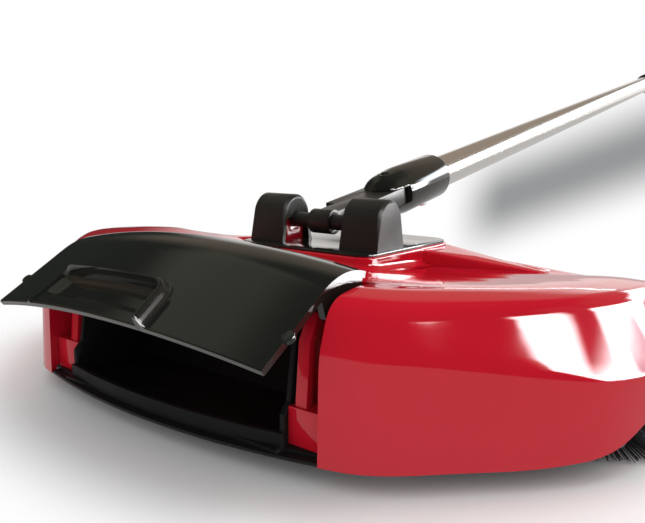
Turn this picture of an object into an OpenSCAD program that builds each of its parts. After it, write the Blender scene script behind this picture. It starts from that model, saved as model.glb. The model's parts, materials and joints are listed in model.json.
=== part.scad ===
// Push-along carpet sweeper: two corner brushes and a roller brush geared to the wheels,
// a dust bin with a swing-up door, and a long tube handle on a tilting and swivelling yoke.
// X runs across the head, +Y towards the brush end, +Z up. The origin is on the floor.

/* [Housing] */
// Half of the head's width over the brush fenders
half_width = 159; // [140:1:190]
// How far the dust door end reaches behind the origin
rear_depth = 110.5; // [108:0.5:125]
// How far the brush end reaches ahead of the origin
front_depth = 78; // [74:1:94]
// Height of the cover beside the dust door
cover_h = 62; // [60:1:75]
// Height of the housing's lower edge above the floor
floor_gap = 7.5; // [7:0.1:8]
// Wall thickness of the red cover
wall = 2.6; // [2.2:0.1:3.2]
// Width of each side pod, from the door's slot to the fender
pod_w = 86.3; // [84:0.1:90]
// Plan radius of the bowed door end
bow_r = 310; // [280:1:400]

/* [Dust door] */
// Thickness of the door panel
door_t = 2.4; // [2:0.1:2.8]
// Angle that the door is swung up from closed
door_open = 53.5; // [0:0.5:60]
// Distance of the hinge line ahead of the mouth's corner
hinge_in = 22.5; // [20.5:0.5:24.5]
// Depth of the hinge line below the cover's top
hinge_drop = 12.5; // [12:0.5:13.5]
// Diameter of the hinge pins
hinge_pin_d = 4; // [3.4:0.1:4.8]
// Width of the finger pull
pull_w = 66; // [50:1:76]
// Height that the finger pull stands out
pull_h = 4.5; // [3:0.5:6]

/* [Running gear] */
// Diameter of the wheels over their tyres
wheel_d = 44; // [42:1:46]
// Width of a tyre
tyre_w = 12; // [10:0.5:12.5]
// Diameter of the wheel axle
axle_d = 6; // [5:0.1:6.5]
// Distance of the wheel axle behind the origin
axle_back = 46; // [45:0.5:47]
// Distance of the roller brush ahead of the origin
roller_fwd = 12; // [11:0.5:13]
// Diameter of the roller brush over its bristles
roller_d = 44; // [40:1:45]
// Diameter of the roller shaft
shaft_d = 6; // [5:0.1:6.5]
// Reach of a corner brush from its spindle
brush_reach = 48; // [44:1:52]
// Diameter of a corner brush spindle
spindle_d = 5; // [4:0.1:6]

/* [Handle pivot] */
// Length between the two pivot towers
tower_gap = 33.6; // [30:0.2:38]
// Length of one tower along the crossbar
tower_w = 20.8; // [18:0.2:24]
// Height of the towers above the trim plate
tower_h = 23; // [22:0.5:27]
// Diameter of the crossbar
crossbar_d = 7.6; // [6.4:0.1:8.6]
// Height of the crossbar above the trim plate
pivot_rise = 10.5; // [10.5:0.1:12]

/* [Handle] */
// Angle of the handle above level
rest_angle = 9.2; // [4:0.2:90]
// Outer diameter of the handle tubes
tube_d = 20; // [16:0.5:22]
// Wall thickness of the handle tubes
tube_wall = 0.6; // [0.5:0.1:1.2]
// Length of the lower tube
lower_len = 715; // [400:1:800]
// Length of the upper tube
upper_len = 163; // [140:1:500]
// Length of the grip
grip_len = 120; // [100:1:140]
// Diameter of the hanging hole through the end of the grip
hang_d = 8; // [6:0.5:10]
// Distance from the crossbar to the swivel pin
swivel_at = 58; // [54:1:66]
// Diameter of the swivel pin
swivel_d = 6; // [5:0.1:7]
// Length of the tube socket past the swivel pin
socket_len = 57; // [50:1:90]

/* [Hidden] */

$fn = 64;
eps = 0.01;
run_gap = 0.06;        // radial clearance of a turning shaft in its bearing
slide_gap = 0.3;       // side clearance between pieces that move past each other
fix_gap = 0.05;        // radial clearance of a piece pushed onto another
red = [0.82, 0.04, 0.07];
black = [0.07, 0.07, 0.075];
grey = [0.2, 0.2, 0.21];
steel = [0.75, 0.76, 0.78];
nylon = [0.9, 0.89, 0.84];
bristle = [0.1, 0.1, 0.11];

// Widths across the head, from the middle outwards
open_half = half_width - pod_w;            // inner face of a side pod at the door
door_half = open_half - 3;                 // half width of the door
post_out = door_half - 2.4 - slide_gap;    // outer face of a door post
post_in = post_out - 7;                    // inner face of a door post
tray_half = post_in - 2;                   // outer face of the dust tray
plate_t = 2.5;                             // thickness of the bearing plates
plate_in = tray_half + 8.5;                // inner face of a bearing plate
gear_w = 5;                                // face width of the spur gears
gear_in = plate_in + plate_t + 2.5;        // inner face of the spur gears
gcover_in = gear_in + gear_w + 2;          // inner face of the gear cover
gcover_t = 2;                              // thickness of the gear cover
tyre_in = gcover_in + gcover_t + 3;        // inner face of a tyre
brush_x = half_width - 39;                 // spindle of a corner brush

// Places along the head
bow_y = bow_r - rear_depth;                // centre of the door end's bow
function bow_line(x) = bow_y - sqrt(bow_r * bow_r - x * x);
mouth_y = bow_line(open_half);             // corner of the dust bin's mouth
hinge_y = mouth_y + hinge_in;
hinge_z = cover_h - hinge_drop;
axle_y = -axle_back;
axle_z = wheel_d / 2;
roller_y = roller_fwd;
roller_z = roller_d / 2 + 0.5;
base_z = floor_gap + 3;                    // top of the base frame
trim_top = cover_h - 2;
trim_t = 1.2;
plinth_top = trim_top - trim_t;
pivot_y = 2;
pivot_z = trim_top + pivot_rise;

// Spur gears from the axle to the roller
gear_m = 1;
axle_teeth = 34;
idler_teeth = 34;
roller_teeth = 18;
axle_idler = gear_m * (axle_teeth + idler_teeth) / 2;
idler_roller = gear_m * (idler_teeth + roller_teeth) / 2;
train = norm([roller_y - axle_y, roller_z - axle_z]);
train_tilt = atan2(roller_z - axle_z, roller_y - axle_y);
idler_swing = acos((pow(axle_idler, 2) + pow(train, 2) - pow(idler_roller, 2)) / (2 * axle_idler * train));
axle_to_idler = train_tilt + idler_swing;
idler_y = axle_y + axle_idler * cos(axle_to_idler);
idler_z = axle_z + axle_idler * sin(axle_to_idler);
idler_to_roller = atan2(roller_z - idler_z, roller_y - idler_y);
pod_wall_end = axle_y - gear_m * axle_teeth / 2 - 3.4;    // end of a pod's inner wall, clear of the gear

// Crown and pinion gears of the corner brushes
crown_m = 1.5;
pinion_teeth = 12;
crown_teeth = 24;
pinion_r = crown_m * pinion_teeth / 2;
crown_r = crown_m * crown_teeth / 2;
mesh_z = roller_z - pinion_r;              // height where crown and pinion meet
crown_floor = mesh_z - 1.65;               // height of the crown wheel between its teeth
hub_z = floor_gap - 1.5;                   // underside of a brush hub
hub_r = 24;
bridge_z = roller_z + 11.5;                // underside of the bridge over a corner brush

// Lower edge of the cover's right half, from the door end round to the brush end: place and
// height, then distance inwards and height of the lower crease, the upper crease and the deck's rim
w = half_width;
r = rear_depth;
f = front_depth;
g = floor_gap;
h = cover_h;
sections = [
    [0, -r, g, 0.5, h - 19, 6, h - 2, 22, h],
    [40, bow_line(40), g, 0.5, h - 19, 6, h - 2, 22, h],
    [w - 86, mouth_y - 0.2, g, 0.5, h - 19, 6, h - 2, 22, h],
    [w - 69, mouth_y + 6.2, g, 1.5, h - 19, 8, h - 3, 24, h - 0.5],
    [w - 50, mouth_y + 21.9, g, 2.5, h - 21, 10, h - 4, 25, h - 1.5],
    [w - 27, mouth_y + 43.9, g, 1, h - 26, 10, h - 3.5, 25, h - 2],
    [w - 12, mouth_y + 63.4, g + 3, 0, h - 29, 11, h - 3, 27, h - 2.5],
    [w - 2, -14, g + 16, 0, h - 29, 13, h - 4, 30, h - 3.5],
    [w, 14, g + 17, 0, h - 29, 14, h - 6, 30, h - 5],
    [w - 6, 40, g + 16, 0, h - 30, 13, h - 9, 28, h - 7.5],
    [w - 23, f - 18, g + 11, 0, h - 30, 10, h - 13, 24, h - 11],
    [w - 48, f - 7.5, g + 6, 1, h - 30, 8, h - 15, 20, h - 12.5],
    [60, f - 2.2, g + 4, 2, h - 28, 8, h - 14, 18, h - 10],
    [0, f, g + 4, 2, h - 28, 8, h - 13, 18, h - 8]];
spans = len(sections) - 1;
steps = 3;                                 // columns of the cover's surface to each section
half_cols = spans * steps;
cols = 2 * half_cols;

// Screws that hold the cover: place, and height of the cover's boss below its top
bosses = [[open_half + 12, axle_y - wheel_d / 2 - 10.4, 4.4], [50, f - 18, 12.8], [w - 29, -30, 4.8]];

function mirror_row(q) = [for (i = [0:len(q) - 1]) i == 0 ? -q[0] : q[i]];
function section_at(i) = i < 0 ? mirror_row(sections[-i])
    : i > spans ? mirror_row(sections[2 * spans - i]) : sections[i];
// Smooth curve through the sections
function blend(a, b, c, d, t) = 0.5 * ((2 * b) + (c - a) * t + (2 * a - 5 * b + 4 * c - d) * t * t
    + (3 * b - a - 3 * c + d) * t * t * t);
function section(u) = let (i = min(floor(u), spans - 1), t = u - i)
    blend(section_at(i - 1), section_at(i), section_at(i + 1), section_at(i + 2), t);
function inward(u) = let (a = section(max(u - 0.05, 0)), b = section(min(u + 0.05, spans)),
    e = u < 0.05 || u > spans - 0.05, tx = e ? (u < 1 ? 1 : -1) : b[0] - a[0], ty = e ? 0 : b[1] - a[1],
    l = norm([tx, ty])) [-ty / l, tx / l];
function bend(a, b, c, t) = (1 - t) * (1 - t) * a + 2 * t * (1 - t) * b + t * t * c;
// Side profile as distance inwards and height, rounded at its two creases
function profile(s) = let (p0 = [0, s[2]], p1 = [s[3], s[4]], p2 = [s[5], s[6]], p3 = [s[7], s[8]],
    a = p1 + (p0 - p1) * 0.25, b = p1 + (p2 - p1) * 0.2, c = p2 + (p1 - p2) * 0.4, d = p2 + (p3 - p2) * 0.45)
    concat([p0], [for (t = [0, 0.5, 1]) bend(a, p1, b, t)],
        [for (t = [0, 0.33, 0.67, 1]) bend(c, p2, d, t)], [p3]);
// Middle line of the deck, which the side profiles run up to
function spine(u) = let (y = -62 + 110 * u / spans)
    [0, y, lookup(y, [[-62, h - 0.5], [-40, h - 3], [-15, h - 8.5], [10, h - 13], [48, h - 11]])];
function column(u, t) = let (s = section(u), n = inward(u), q = profile(s), m = len(q) - 1,
    edge = [for (i = [0:m]) let (a = q[max(i - 1, 0)], b = q[min(i + 1, m)], l = norm(b - a),
        k = i == 0 ? [t, 0] : t * [(b[1] - a[1]) / l, -(b[0] - a[0]) / l], p = q[i] + k)
        [s[0] + n[0] * p[0], s[1] + n[1] * p[0], p[1]]],
    rim = edge[m], end = spine(u) - [0, 0, t])
    concat(edge, [for (v = [0.2, 0.45, 0.72, 1]) let (e = v * (2 - v))
        [rim[0] * (1 - v), rim[1] + (end[1] - rim[1]) * v, rim[2] + (end[2] - rim[2]) * e]]);
rows = len(column(0, 0));
function flip(p) = [-p[0], p[1], p[2]];
function skin(t) = [for (i = [0:cols - 1]) each i <= half_cols ? column(i / steps, t)
    : [for (p = column((cols - i) / steps, t)) flip(p)]];
function at(i, j, side) = let (k = i % cols) side * cols * rows
    + (j == rows - 1 && k > half_cols ? cols - k : k) * rows + j;

module shell() {
    faces = concat(
        [for (i = [0:cols - 1], j = [0:rows - 2]) each [
            [at(i, j, 0), at(i, j + 1, 0), at(i + 1, j, 0)],
            [at(i + 1, j, 0), at(i, j + 1, 0), at(i + 1, j + 1, 0)],
            [at(i, j, 1), at(i + 1, j, 1), at(i, j + 1, 1)],
            [at(i + 1, j, 1), at(i + 1, j + 1, 1), at(i, j + 1, 1)]]],
        [for (i = [0:cols - 1]) each [
            [at(i, 0, 0), at(i + 1, 0, 0), at(i, 0, 1)],
            [at(i + 1, 0, 0), at(i + 1, 0, 1), at(i, 0, 1)]]]);
    polyhedron(concat(skin(0), skin(wall)),
        [for (t = faces) if (t[0] != t[1] && t[1] != t[2] && t[0] != t[2]) t]);
}

// Puts its children on both sides of the head
module both() {
    children();
    mirror([1, 0, 0]) children();
}
// Extrudes an outline drawn in Y and Z from x0 to x1
module across(x0, x1) {
    translate([x0, 0, 0]) rotate([90, 0, 90]) linear_extrude(x1 - x0) children();
}
// Cylinder along X about a point in Y and Z
module rod_x(x0, x1, d, y, z) {
    translate([x0, y, z]) rotate([0, 90, 0]) cylinder(h = x1 - x0, d = d);
}
module post(d, z0, z1) {
    translate([0, 0, z0]) cylinder(h = z1 - z0, d = d);
}

// Plinth under the handle pivot: wider towards the brush end
module plinth(inset, z0, z1) {
    hull() for (c = [[31, -11, 9], [34, 44, 10]], s = [-1, 1])
        translate([s * c[0], c[1], z0]) cylinder(h = z1 - z0, r = c[2] - inset, $fn = 32);
}

module top_cover() {
    color(red) difference() {
        union() {
            shell();
            plinth(0, h - 16, plinth_top);
            // Brow that carries the plinth's front corners out to the fenders
            both() hull() for (b = [[42, 26, 4.5], [64, 38, 7], [97, 43, 12], [42, 52, 5], [72, 52, 10]])
                translate([b[0], b[1], h - 17]) cylinder(h = 17 - b[2], r = 2, $fn = 24);
            both() {
                // Inner wall of the side pod
                across(open_half, open_half + wall) polygon([[mouth_y + 1.4, base_z],
                    [mouth_y + 1.9, h - 18], [mouth_y + 6.4, h - 6], [mouth_y + 17.4, h - 2],
                    [pod_wall_end, h - 3], [pod_wall_end, base_z]]);
                rod_x(open_half - 2, open_half + eps, 4.4, mouth_y + 5.9, 30);
                for (b = bosses) translate([b[0], b[1], 0]) post(8, base_z, h - b[2]);
            }
        }
        plinth(wall, 0, plinth_top - wall);
        // Mouth of the dust bin, following the bow, with the slots for the door's arms
        intersection() {
            translate([-open_half, -r - 10, 0]) cube([2 * open_half, r, h + 20]);
            translate([0, bow_y, -1]) difference() {
                cylinder(h = h + 30, r = bow_r + 20, $fn = 200);
                translate([0, 0, -1]) cylinder(h = h + 40, r = bow_r - 16.6, $fn = 200);
            }
        }
        both() translate([post_out - 2, -r - 1, 0])
            cube([open_half - post_out + 2, r + hinge_y + 14.5, h + 20]);
        for (x = [-1, 1], b = bosses) translate([x * b[0], b[1], 0]) post(3.1, 0, base_z + 16);
        for (x = [-1, 1] * saddle_x, y = [-4, 4]) translate([x, pivot_y + y, 0])
            post(3.2, plinth_top - wall - 1, plinth_top + 1);
    }
}

module base_outline(inset) {
    pts = [for (i = [0:cols - 1]) let (u = i <= half_cols ? i / steps : (cols - i) / steps,
        s = section(u), n = inward(u), x = min(s[0] + n[0] * inset, w - 12), y = s[1] + n[1] * inset)
        [i <= half_cols ? x : -x, y]];
    polygon(pts);
}

module base_frame() {
    color(black) difference() {
        union() {
            translate([0, 0, floor_gap]) linear_extrude(base_z - floor_gap) difference() {
                base_outline(wall + 1.4);
                translate([-tray_half, -r - 1]) square([2 * tray_half, r + roller_y + 34]);
                translate([1 - plate_in, roller_y - 28]) square([2 * plate_in - 2, 62]);
                both() {
                    translate([0, -r - 1]) square([open_half - slide_gap, r + mouth_y + 12.4]);
                    translate([gear_in - 1.5, axle_y - 21]) square([gear_w + 3, 42]);
                    translate([tyre_in - 2, axle_y - 24]) square([tyre_w + 4, 48]);
                    translate([brush_x, roller_y]) circle(r = hub_r + 2);
                }
            }
            // Ribs along the front beam
            for (y = [roller_y + 38, f - 26]) translate([-tray_half, y, base_z - eps])
                cube([2 * tray_half, 2, 8]);
        }
        both() for (b = bosses) translate([b[0], b[1], 0]) {
            post(3.3, 0, base_z + 1);
            post(6.6, 0, floor_gap + 1.6);
        }
    }
}

module dust_tray() {
    lip = bow_line(tray_half) + 0.5;
    corner = r + mouth_y + 12;
    color(grey) difference() {
        union() {
            // Floor, hump over the wheel axle and ramp up from the roller
            across(-tray_half, tray_half) polygon([[lip, floor_gap], [axle_y - 17, floor_gap],
                [axle_y - 7.5, axle_z + 4.2], [axle_y + 3, axle_z + 4.2], [roller_y - 39, 11.8],
                [roller_y - 19, 3], [roller_y - 19, 4.6], [roller_y - 38, 14], [axle_y + 4, axle_z + 6.5],
                [axle_y - 8.5, axle_z + 6.5], [axle_y - 18, base_z - 0.5], [lip, base_z - 0.5]]);
            // Side walls
            both() across(tray_half - 2, tray_half) polygon([[lip + 4.2, floor_gap], [lip + 4.2, 20.5],
                [lip + 7.5, 24], [lip + 11, h - 16], [roller_y - 42, h - 16],
                [roller_y - 27, 30], [roller_y - 19, 4.6],
                [roller_y - 19, 3], [roller_y - 39, 11.8], [axle_y + 3, axle_z + 4.2],
                [axle_y - 7.5, axle_z + 4.2], [axle_y - 17, floor_gap]]);
            // Stepped lip that the closed door's edge stands against
            intersection() {
                translate([0, bow_y, floor_gap]) rotate_extrude($fn = 200) polygon([[bow_r - r - lip - 6, 0],
                    [bow_r, 0], [bow_r, 1.3], [bow_r - 3.4, 1.3], [bow_r - 3.4, 7], [bow_r - 5.4, 7],
                    [bow_r - 5.4, 2.5], [bow_r - r - lip - 6, 2.5]]);
                union() {
                    translate([-tray_half, -r - 2, 0]) cube([2 * tray_half, corner, 40]);
                    translate([slide_gap - open_half, -r - 2, 0])
                        cube([2 * open_half - 2 * slide_gap, corner, floor_gap + 2.5]);
                }
            }
        }
    }
}

// Stands inside the closed door beside the bin's mouth and carries one hinge pin
module door_post() {
    foot_z = floor_gap + 2.5;
    front = mouth_y + 3.7;
    color(red) difference() {
        union() {
            translate([tray_half, front, foot_z]) cube([open_half - slide_gap - tray_half, 7.2, 13]);
            across(post_in, post_in + 4.5) polygon([[front, foot_z], [front + 3, hinge_z - 5],
                [front + 7.8, hinge_z + 4], [front + 9.8, hinge_z + 1], [front + 6.3, hinge_z - 5],
                [front + 3, foot_z]]);
            across(post_in, post_out) polygon([[front + 1, foot_z], [front + 5, hinge_z - 5],
                [front + 7, hinge_z - 5], [front + 4, foot_z]]);
            across(post_in, post_in + 2.5) polygon([[front + 6.3, base_z], [front + 5, hinge_z - 5],
                [front + 7.8, hinge_z + 3], [hinge_y + 4, hinge_z + 4], [hinge_y + 8, base_z]]);
            rod_x(post_in, post_out, hinge_pin_d + 6, hinge_y, hinge_z);
        }
        rod_x(post_in - 1, post_out + 1, hinge_pin_d + 2 * run_gap, hinge_y, hinge_z);
    }
}
module door_post_right() { door_post(); }
module door_post_left() { mirror([1, 0, 0]) door_post(); }

saddle_x = tower_gap / 2 + 9;              // middle of a saddle along the crossbar
saddle_half = 6.5;
saddle_len = 15;

module trim_plate() {
    color(black) difference() {
        plinth(1, plinth_top, trim_top);
        for (x = [-1, 1] * saddle_x) translate([x - saddle_half - 0.2, pivot_y - saddle_len / 2 - 0.2, 0])
            cube([2 * saddle_half + 0.4, saddle_len + 0.4, 100]);
    }
}

// Red U-shaped blocks that the crossbar lies in
module pivot_saddles() {
    color(red) for (x = [-1, 1] * saddle_x) difference() {
        translate([x - saddle_half, pivot_y - saddle_len / 2, plinth_top])
            cube([2 * saddle_half, saddle_len, pivot_z + 1.5 - plinth_top]);
        rod_x(x - 10, x + 10, crossbar_d + 2 * run_gap, pivot_y, pivot_z);
        translate([x - 10, pivot_y - crossbar_d / 2 - run_gap, pivot_z])
            cube([20, crossbar_d + 2 * run_gap, 10]);
        for (y = [-4, 4]) translate([x, pivot_y + y, 0]) post(3.1, plinth_top - 1, plinth_top + 4);
    }
}

module screw(d, head_d, head_h, len) {
    cylinder(h = head_h, d = head_d);
    cylinder(h = len, d = d);
}

module saddle_screws() {
    color(steel) for (x = [-1, 1] * saddle_x, y = [-4, 4])
        translate([x, pivot_y + y, plinth_top - wall - 1.8]) screw(3, 5.6, 1.8, 7.4);
}

tower_len = 23.7;                          // length of a tower along Y at its foot
tower_r = 10.4;                            // radius of a tower's round top
tower_edge = 1.4;                          // broken edge round a tower's end faces
module tower_outline(t) {
    z = trim_top + tower_h - tower_r;
    a = tower_len / 2 - t;
    b = tower_r - t;
    translate([pivot_y, z]) circle(r = b);
    polygon([[pivot_y - a, trim_top], [pivot_y + a, trim_top], [pivot_y + b, z], [pivot_y - b, z]]);
}
// Black cap over a saddle, open towards the yoke
module pivot_cap() {
    x0 = tower_gap / 2;
    x1 = x0 + tower_w;
    color(black) {
        difference() {
            hull() {
                across(x0 + tower_edge, x1 - tower_edge) tower_outline(0, $fn = 40);
                across(x0, x1) tower_outline(tower_edge, $fn = 40);
                translate([x0, pivot_y - tower_len / 2, trim_top]) cube([x1 - x0, tower_len, eps]);
            }
            translate([0, 0, -eps]) across(x0 - 1, x1 - 2.4) tower_outline(2.4);
        }
        // Rib that holds the crossbar down in its saddle
        difference() {
            intersection() {
                across(saddle_x - 2, saddle_x + 2) tower_outline(2.4 - eps);
                translate([0, 0, pivot_z + 1.8]) translate([0, -50, 0]) cube([100, 100, 50]);
            }
            rod_x(0, 60, crossbar_d + 2 * run_gap, pivot_y, pivot_z);
        }
    }
}
module pivot_cap_right() { pivot_cap(); }
module pivot_cap_left() { mirror([1, 0, 0]) pivot_cap(); }

module cover_screws() {
    color(steel) for (x = [-1, 1], b = bosses) translate([x * b[0], b[1], floor_gap]) screw(3, 6, 1.6, 14);
}

// Bearing plate between the roller and the spur gears
module bearing_outline() {
    difference() {
        union() {
            polygon([[axle_y - 13, base_z], [roller_y + 14, base_z], [roller_y + 10, roller_z + 9],
                [roller_y - 6, idler_z + 9], [idler_y + 6, idler_z + 12], [idler_y - 8, idler_z + 12],
                [axle_y - 10, axle_z + 9]]);
        }
        translate([axle_y, axle_z]) circle(d = axle_d + 4 + 2 * fix_gap);
        translate([roller_y, roller_z]) circle(d = shaft_d + 4 + 2 * fix_gap);
    }
}
module bearing_plate() {
    color(black) difference() {
        across(plate_in, plate_in + plate_t) bearing_outline();
        rod_x(plate_in - 1, plate_in + plate_t + 1, 4, idler_y, idler_z);
    }
}
module bearing_plate_right() { bearing_plate(); }
module bearing_plate_left() { mirror([1, 0, 0]) bearing_plate(); }

module gear_cover() {
    color(black) difference() {
        across(gcover_in, gcover_in + gcover_t) bearing_outline();
        rod_x(gcover_in - 1, gcover_in + gcover_t + 1, 4, idler_y, idler_z);
    }
}

module plate_spacers() {
    color(black) for (y = [roller_y + 11, axle_y + 19])
        rod_x(plate_in + plate_t, gcover_in, 4, y, base_z + 2.5);
}

// Flanged bush from x0 outwards
module bush(x0, bore, y, z, len) {
    difference() {
        union() {
            rod_x(x0, x0 + len, bore + 4, y, z);
            rod_x(x0 - 1, x0, bore + 7, y, z);
        }
        rod_x(x0 - 2, x0 + len + 1, bore + 2 * run_gap, y, z);
    }
}
module axle_bushes() {
    color(nylon) {
        both() bush(plate_in, axle_d, axle_y, axle_z, plate_t + 0.8);
        bush(gcover_in, axle_d, axle_y, axle_z, gcover_t + 0.8);
    }
}
module roller_bushes() {
    color(nylon) {
        both() bush(plate_in, shaft_d, roller_y, roller_z, plate_t + 0.8);
        bush(gcover_in, shaft_d, roller_y, roller_z, gcover_t + 0.8);
    }
}

module idler_pin() {
    color(steel) rod_x(plate_in - 1, gcover_in + gcover_t + 1, 4, idler_y, idler_z);
}

// Bridge over a corner brush: its inner leg bears the roller shaft, its middle holds the spindle
module brush_bridge() {
    x0 = brush_x - crown_r - 14;
    x1 = brush_x + 28;
    y0 = roller_y - 9;
    color(black) difference() {
        union() {
            translate([x0, y0, bridge_z]) cube([x1 - x0, 18, 4]);
            translate([x0, y0, base_z]) cube([3, 18, bridge_z - base_z + eps]);
            translate([x1 - 3, y0, base_z]) cube([3, 18, bridge_z - base_z + eps]);
            translate([brush_x, roller_y, 0]) post(spindle_d + 8, bridge_z - 4, bridge_z + eps);
        }
        translate([brush_x, roller_y, 0]) post(spindle_d, bridge_z - 5, bridge_z + 2);
        rod_x(x0 - 1, x0 + 4, shaft_d + 2 * run_gap, roller_y, roller_z);
    }
}
module brush_bridge_right() { brush_bridge(); }
module brush_bridge_left() { mirror([1, 0, 0]) brush_bridge(); }

module brush_spindles() {
    color(steel) both() translate([brush_x, roller_y, 0]) post(spindle_d, hub_z - 2.6, bridge_z + 2);
}
module spindle_retainers() {
    color(steel) both() translate([brush_x, roller_y, 0]) difference() {
        post(spindle_d + 5, hub_z - 2.2, hub_z - slide_gap);
        post(spindle_d, hub_z - 3, hub_z);
    }
}

module drive_axle() {
    color(steel) rod_x(-tyre_in - tyre_w - 3, tyre_in + tyre_w + 3, axle_d, axle_y, axle_z);
}

tyre_t = 5;
module wheel() {
    rim = wheel_d / 2 - tyre_t;
    color(black) translate([tyre_in, axle_y, axle_z]) rotate([0, 90, 0]) difference() {
        union() {
            difference() {
                cylinder(h = tyre_w, r = rim);
                translate([0, 0, -1]) cylinder(h = tyre_w + 2, r = rim - 3);
            }
            translate([0, 0, -1.5]) cylinder(h = tyre_w + 3, d = axle_d + 7);
            translate([0, 0, tyre_w / 2 - 1]) cylinder(h = 2, r = rim - 1);
            for (a = [0:60:300]) rotate([0, 0, a]) translate([axle_d / 2 + 1, -1, 1])
                cube([rim - axle_d / 2 - 3, 2, tyre_w - 2]);
        }
        translate([0, 0, -3]) cylinder(h = tyre_w + 6, d = axle_d + 2 * fix_gap);
    }
}
module wheel_right() { wheel(); }
module wheel_left() { mirror([1, 0, 0]) wheel(); }

module tyre() {
    color([0.1, 0.1, 0.1]) translate([tyre_in, axle_y, axle_z]) rotate([0, 90, 0]) difference() {
        cylinder(h = tyre_w, d = wheel_d, $fn = 96);
        translate([0, 0, -1]) cylinder(h = tyre_w + 2, r = wheel_d / 2 - tyre_t + fix_gap);
        for (a = [0:18:342]) rotate([0, 0, a + 9]) translate([wheel_d / 2 - 1, -0.8, -1])
            cube([3, 1.6, tyre_w + 2]);
    }
}
module tyre_right() { tyre(); }
module tyre_left() { mirror([1, 0, 0]) tyre(); }

// Involute spur gear outline with a tooth on +X
function roll(rad, base) = let (a = acos(min(1, base / rad))) tan(a) * 180 / PI - a;
function gear_points(m, n, thin) = let (p = m * n / 2, base = p * cos(20), root = p - 1.25 * m,
        tip = p + 0.9 * m,
    low = max(root + 0.05, base), half = 90 / n * thin,
    flank = [for (q = [0, 0.35, 0.7, 1]) let (rad = low + (tip - low) * q)
        [rad, half + roll(p, base) - roll(max(rad, base), base)]],
    side = concat([[root, flank[0][1]]], flank))
    [for (i = [0:n - 1]) each concat(
        [for (q = side) q[0] * [cos(i * 360 / n - q[1]), sin(i * 360 / n - q[1])]],
        [for (k = [len(side) - 1:-1:0])
            side[k][0] * [cos(i * 360 / n + side[k][1]), sin(i * 360 / n + side[k][1])]])];

// Spur gear about an axis along X, its tooth 0 turned to angle a in the YZ plane
module spur(m, n, thin, a, x0, len, y, z, bore, boss) {
    translate([x0, y, z]) rotate([90, 0, 90]) difference() {
        union() {
            rotate([0, 0, a]) linear_extrude(len) polygon(gear_points(m, n, thin));
            translate([0, 0, -boss]) cylinder(h = len + 2 * boss, d = bore + 5);
        }
        translate([0, 0, -boss - 1]) cylinder(h = len + 2 * boss + 2, d = bore);
        if (n > 30) for (b = [0:60:300]) rotate([0, 0, b]) translate([m * n * 0.3, 0, -1])
            cylinder(h = len + 2, r = m * n * 0.09);
    }
}
thin = 0.9;                                // tooth thickness as a share of half the pitch
axle_phase = axle_to_idler;
idler_phase = axle_to_idler + 180 - (180 - axle_teeth * (axle_to_idler - axle_phase)) / idler_teeth;
roller_phase = idler_to_roller + 180 - (180 - idler_teeth * (idler_to_roller - idler_phase)) / roller_teeth;

module axle_gear() {
    color(nylon) spur(gear_m, axle_teeth, thin, axle_phase, gear_in, gear_w, axle_y, axle_z,
        axle_d + 2 * fix_gap, 0);
}
module idler_gear() {
    color(nylon) spur(gear_m, idler_teeth, thin, idler_phase, gear_in + 0.3, gear_w - 0.6, idler_y, idler_z,
        4 + 2 * run_gap, 1);
}
module roller_gear() {
    color(nylon) spur(gear_m, roller_teeth, thin, roller_phase, gear_in, gear_w, roller_y, roller_z,
        shaft_d + 2 * fix_gap, 0);
}

shaft_end = brush_x - crown_r + 3.5;
core_half = plate_in - 3;
module roller_shaft() {
    color(steel) rod_x(-shaft_end, shaft_end, shaft_d, roller_y, roller_z);
}
module roller_core() {
    color(black) difference() {
        rod_x(-core_half, core_half, 18, roller_y, roller_z);
        rod_x(-core_half - 1, core_half + 1, shaft_d + 2 * fix_gap, roller_y, roller_z);
    }
}
module roller_bristles() {
    brush_len = 2 * core_half - 6;
    color([0.12, 0.12, 0.13]) translate([-brush_len / 2, roller_y, roller_z]) rotate([90, 0, 90])
        for (a = [0:60:300]) rotate([0, 0, a]) linear_extrude(brush_len, twist = 150, slices = 18, $fn = 4)
            translate([9.05, -1.4]) square([roller_d / 2 - 9.05, 2.8]);
}

pinion_w = 3;
module pinion() {
    color(nylon) spur(crown_m, pinion_teeth, 0.78, -90, brush_x - crown_r - pinion_w / 2, pinion_w,
        roller_y, roller_z, shaft_d + 2 * fix_gap, 0.5);
}
module pinion_right() { pinion(); }
module pinion_left() { mirror([1, 0, 0]) pinion(); }

// Hub of a corner brush: disc, sleeve on the spindle and upward crown teeth
module brush_hub() {
    top = mesh_z + 1;
    color(nylon) translate([brush_x, roller_y, 0]) difference() {
        union() {
            translate([0, 0, hub_z]) cylinder(h = crown_floor - hub_z, r = hub_r);
            post(spindle_d + 7, hub_z, bridge_z - 4 - slide_gap);
            for (i = [0:crown_teeth - 1]) rotate([0, 0, 180 + (i + 0.5) * 360 / crown_teeth])
                translate([crown_r - 1.25, 0, 0]) rotate([90, 0, 90]) linear_extrude(2.5)
                    polygon([[-1.2, crown_floor - eps], [1.2, crown_floor - eps], [0.6, top], [-0.6, top]]);
        }
        post(spindle_d + 2 * run_gap, 0, 60);
    }
}
module brush_hub_right() { brush_hub(); }
module brush_hub_left() { mirror([1, 0, 0]) brush_hub(); }

module corner_bristles() {
    color(bristle) translate([brush_x, roller_y, 0]) rotate_extrude($fn = 96) polygon([[hub_r - 9, hub_z],
        [hub_r - 0.5, hub_z], [brush_reach, 1.5], [brush_reach, 0], [brush_reach - 5, 0]]);
}
module corner_bristles_right() { corner_bristles(); }
module corner_bristles_left() { mirror([1, 0, 0]) corner_bristles(); }

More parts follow.
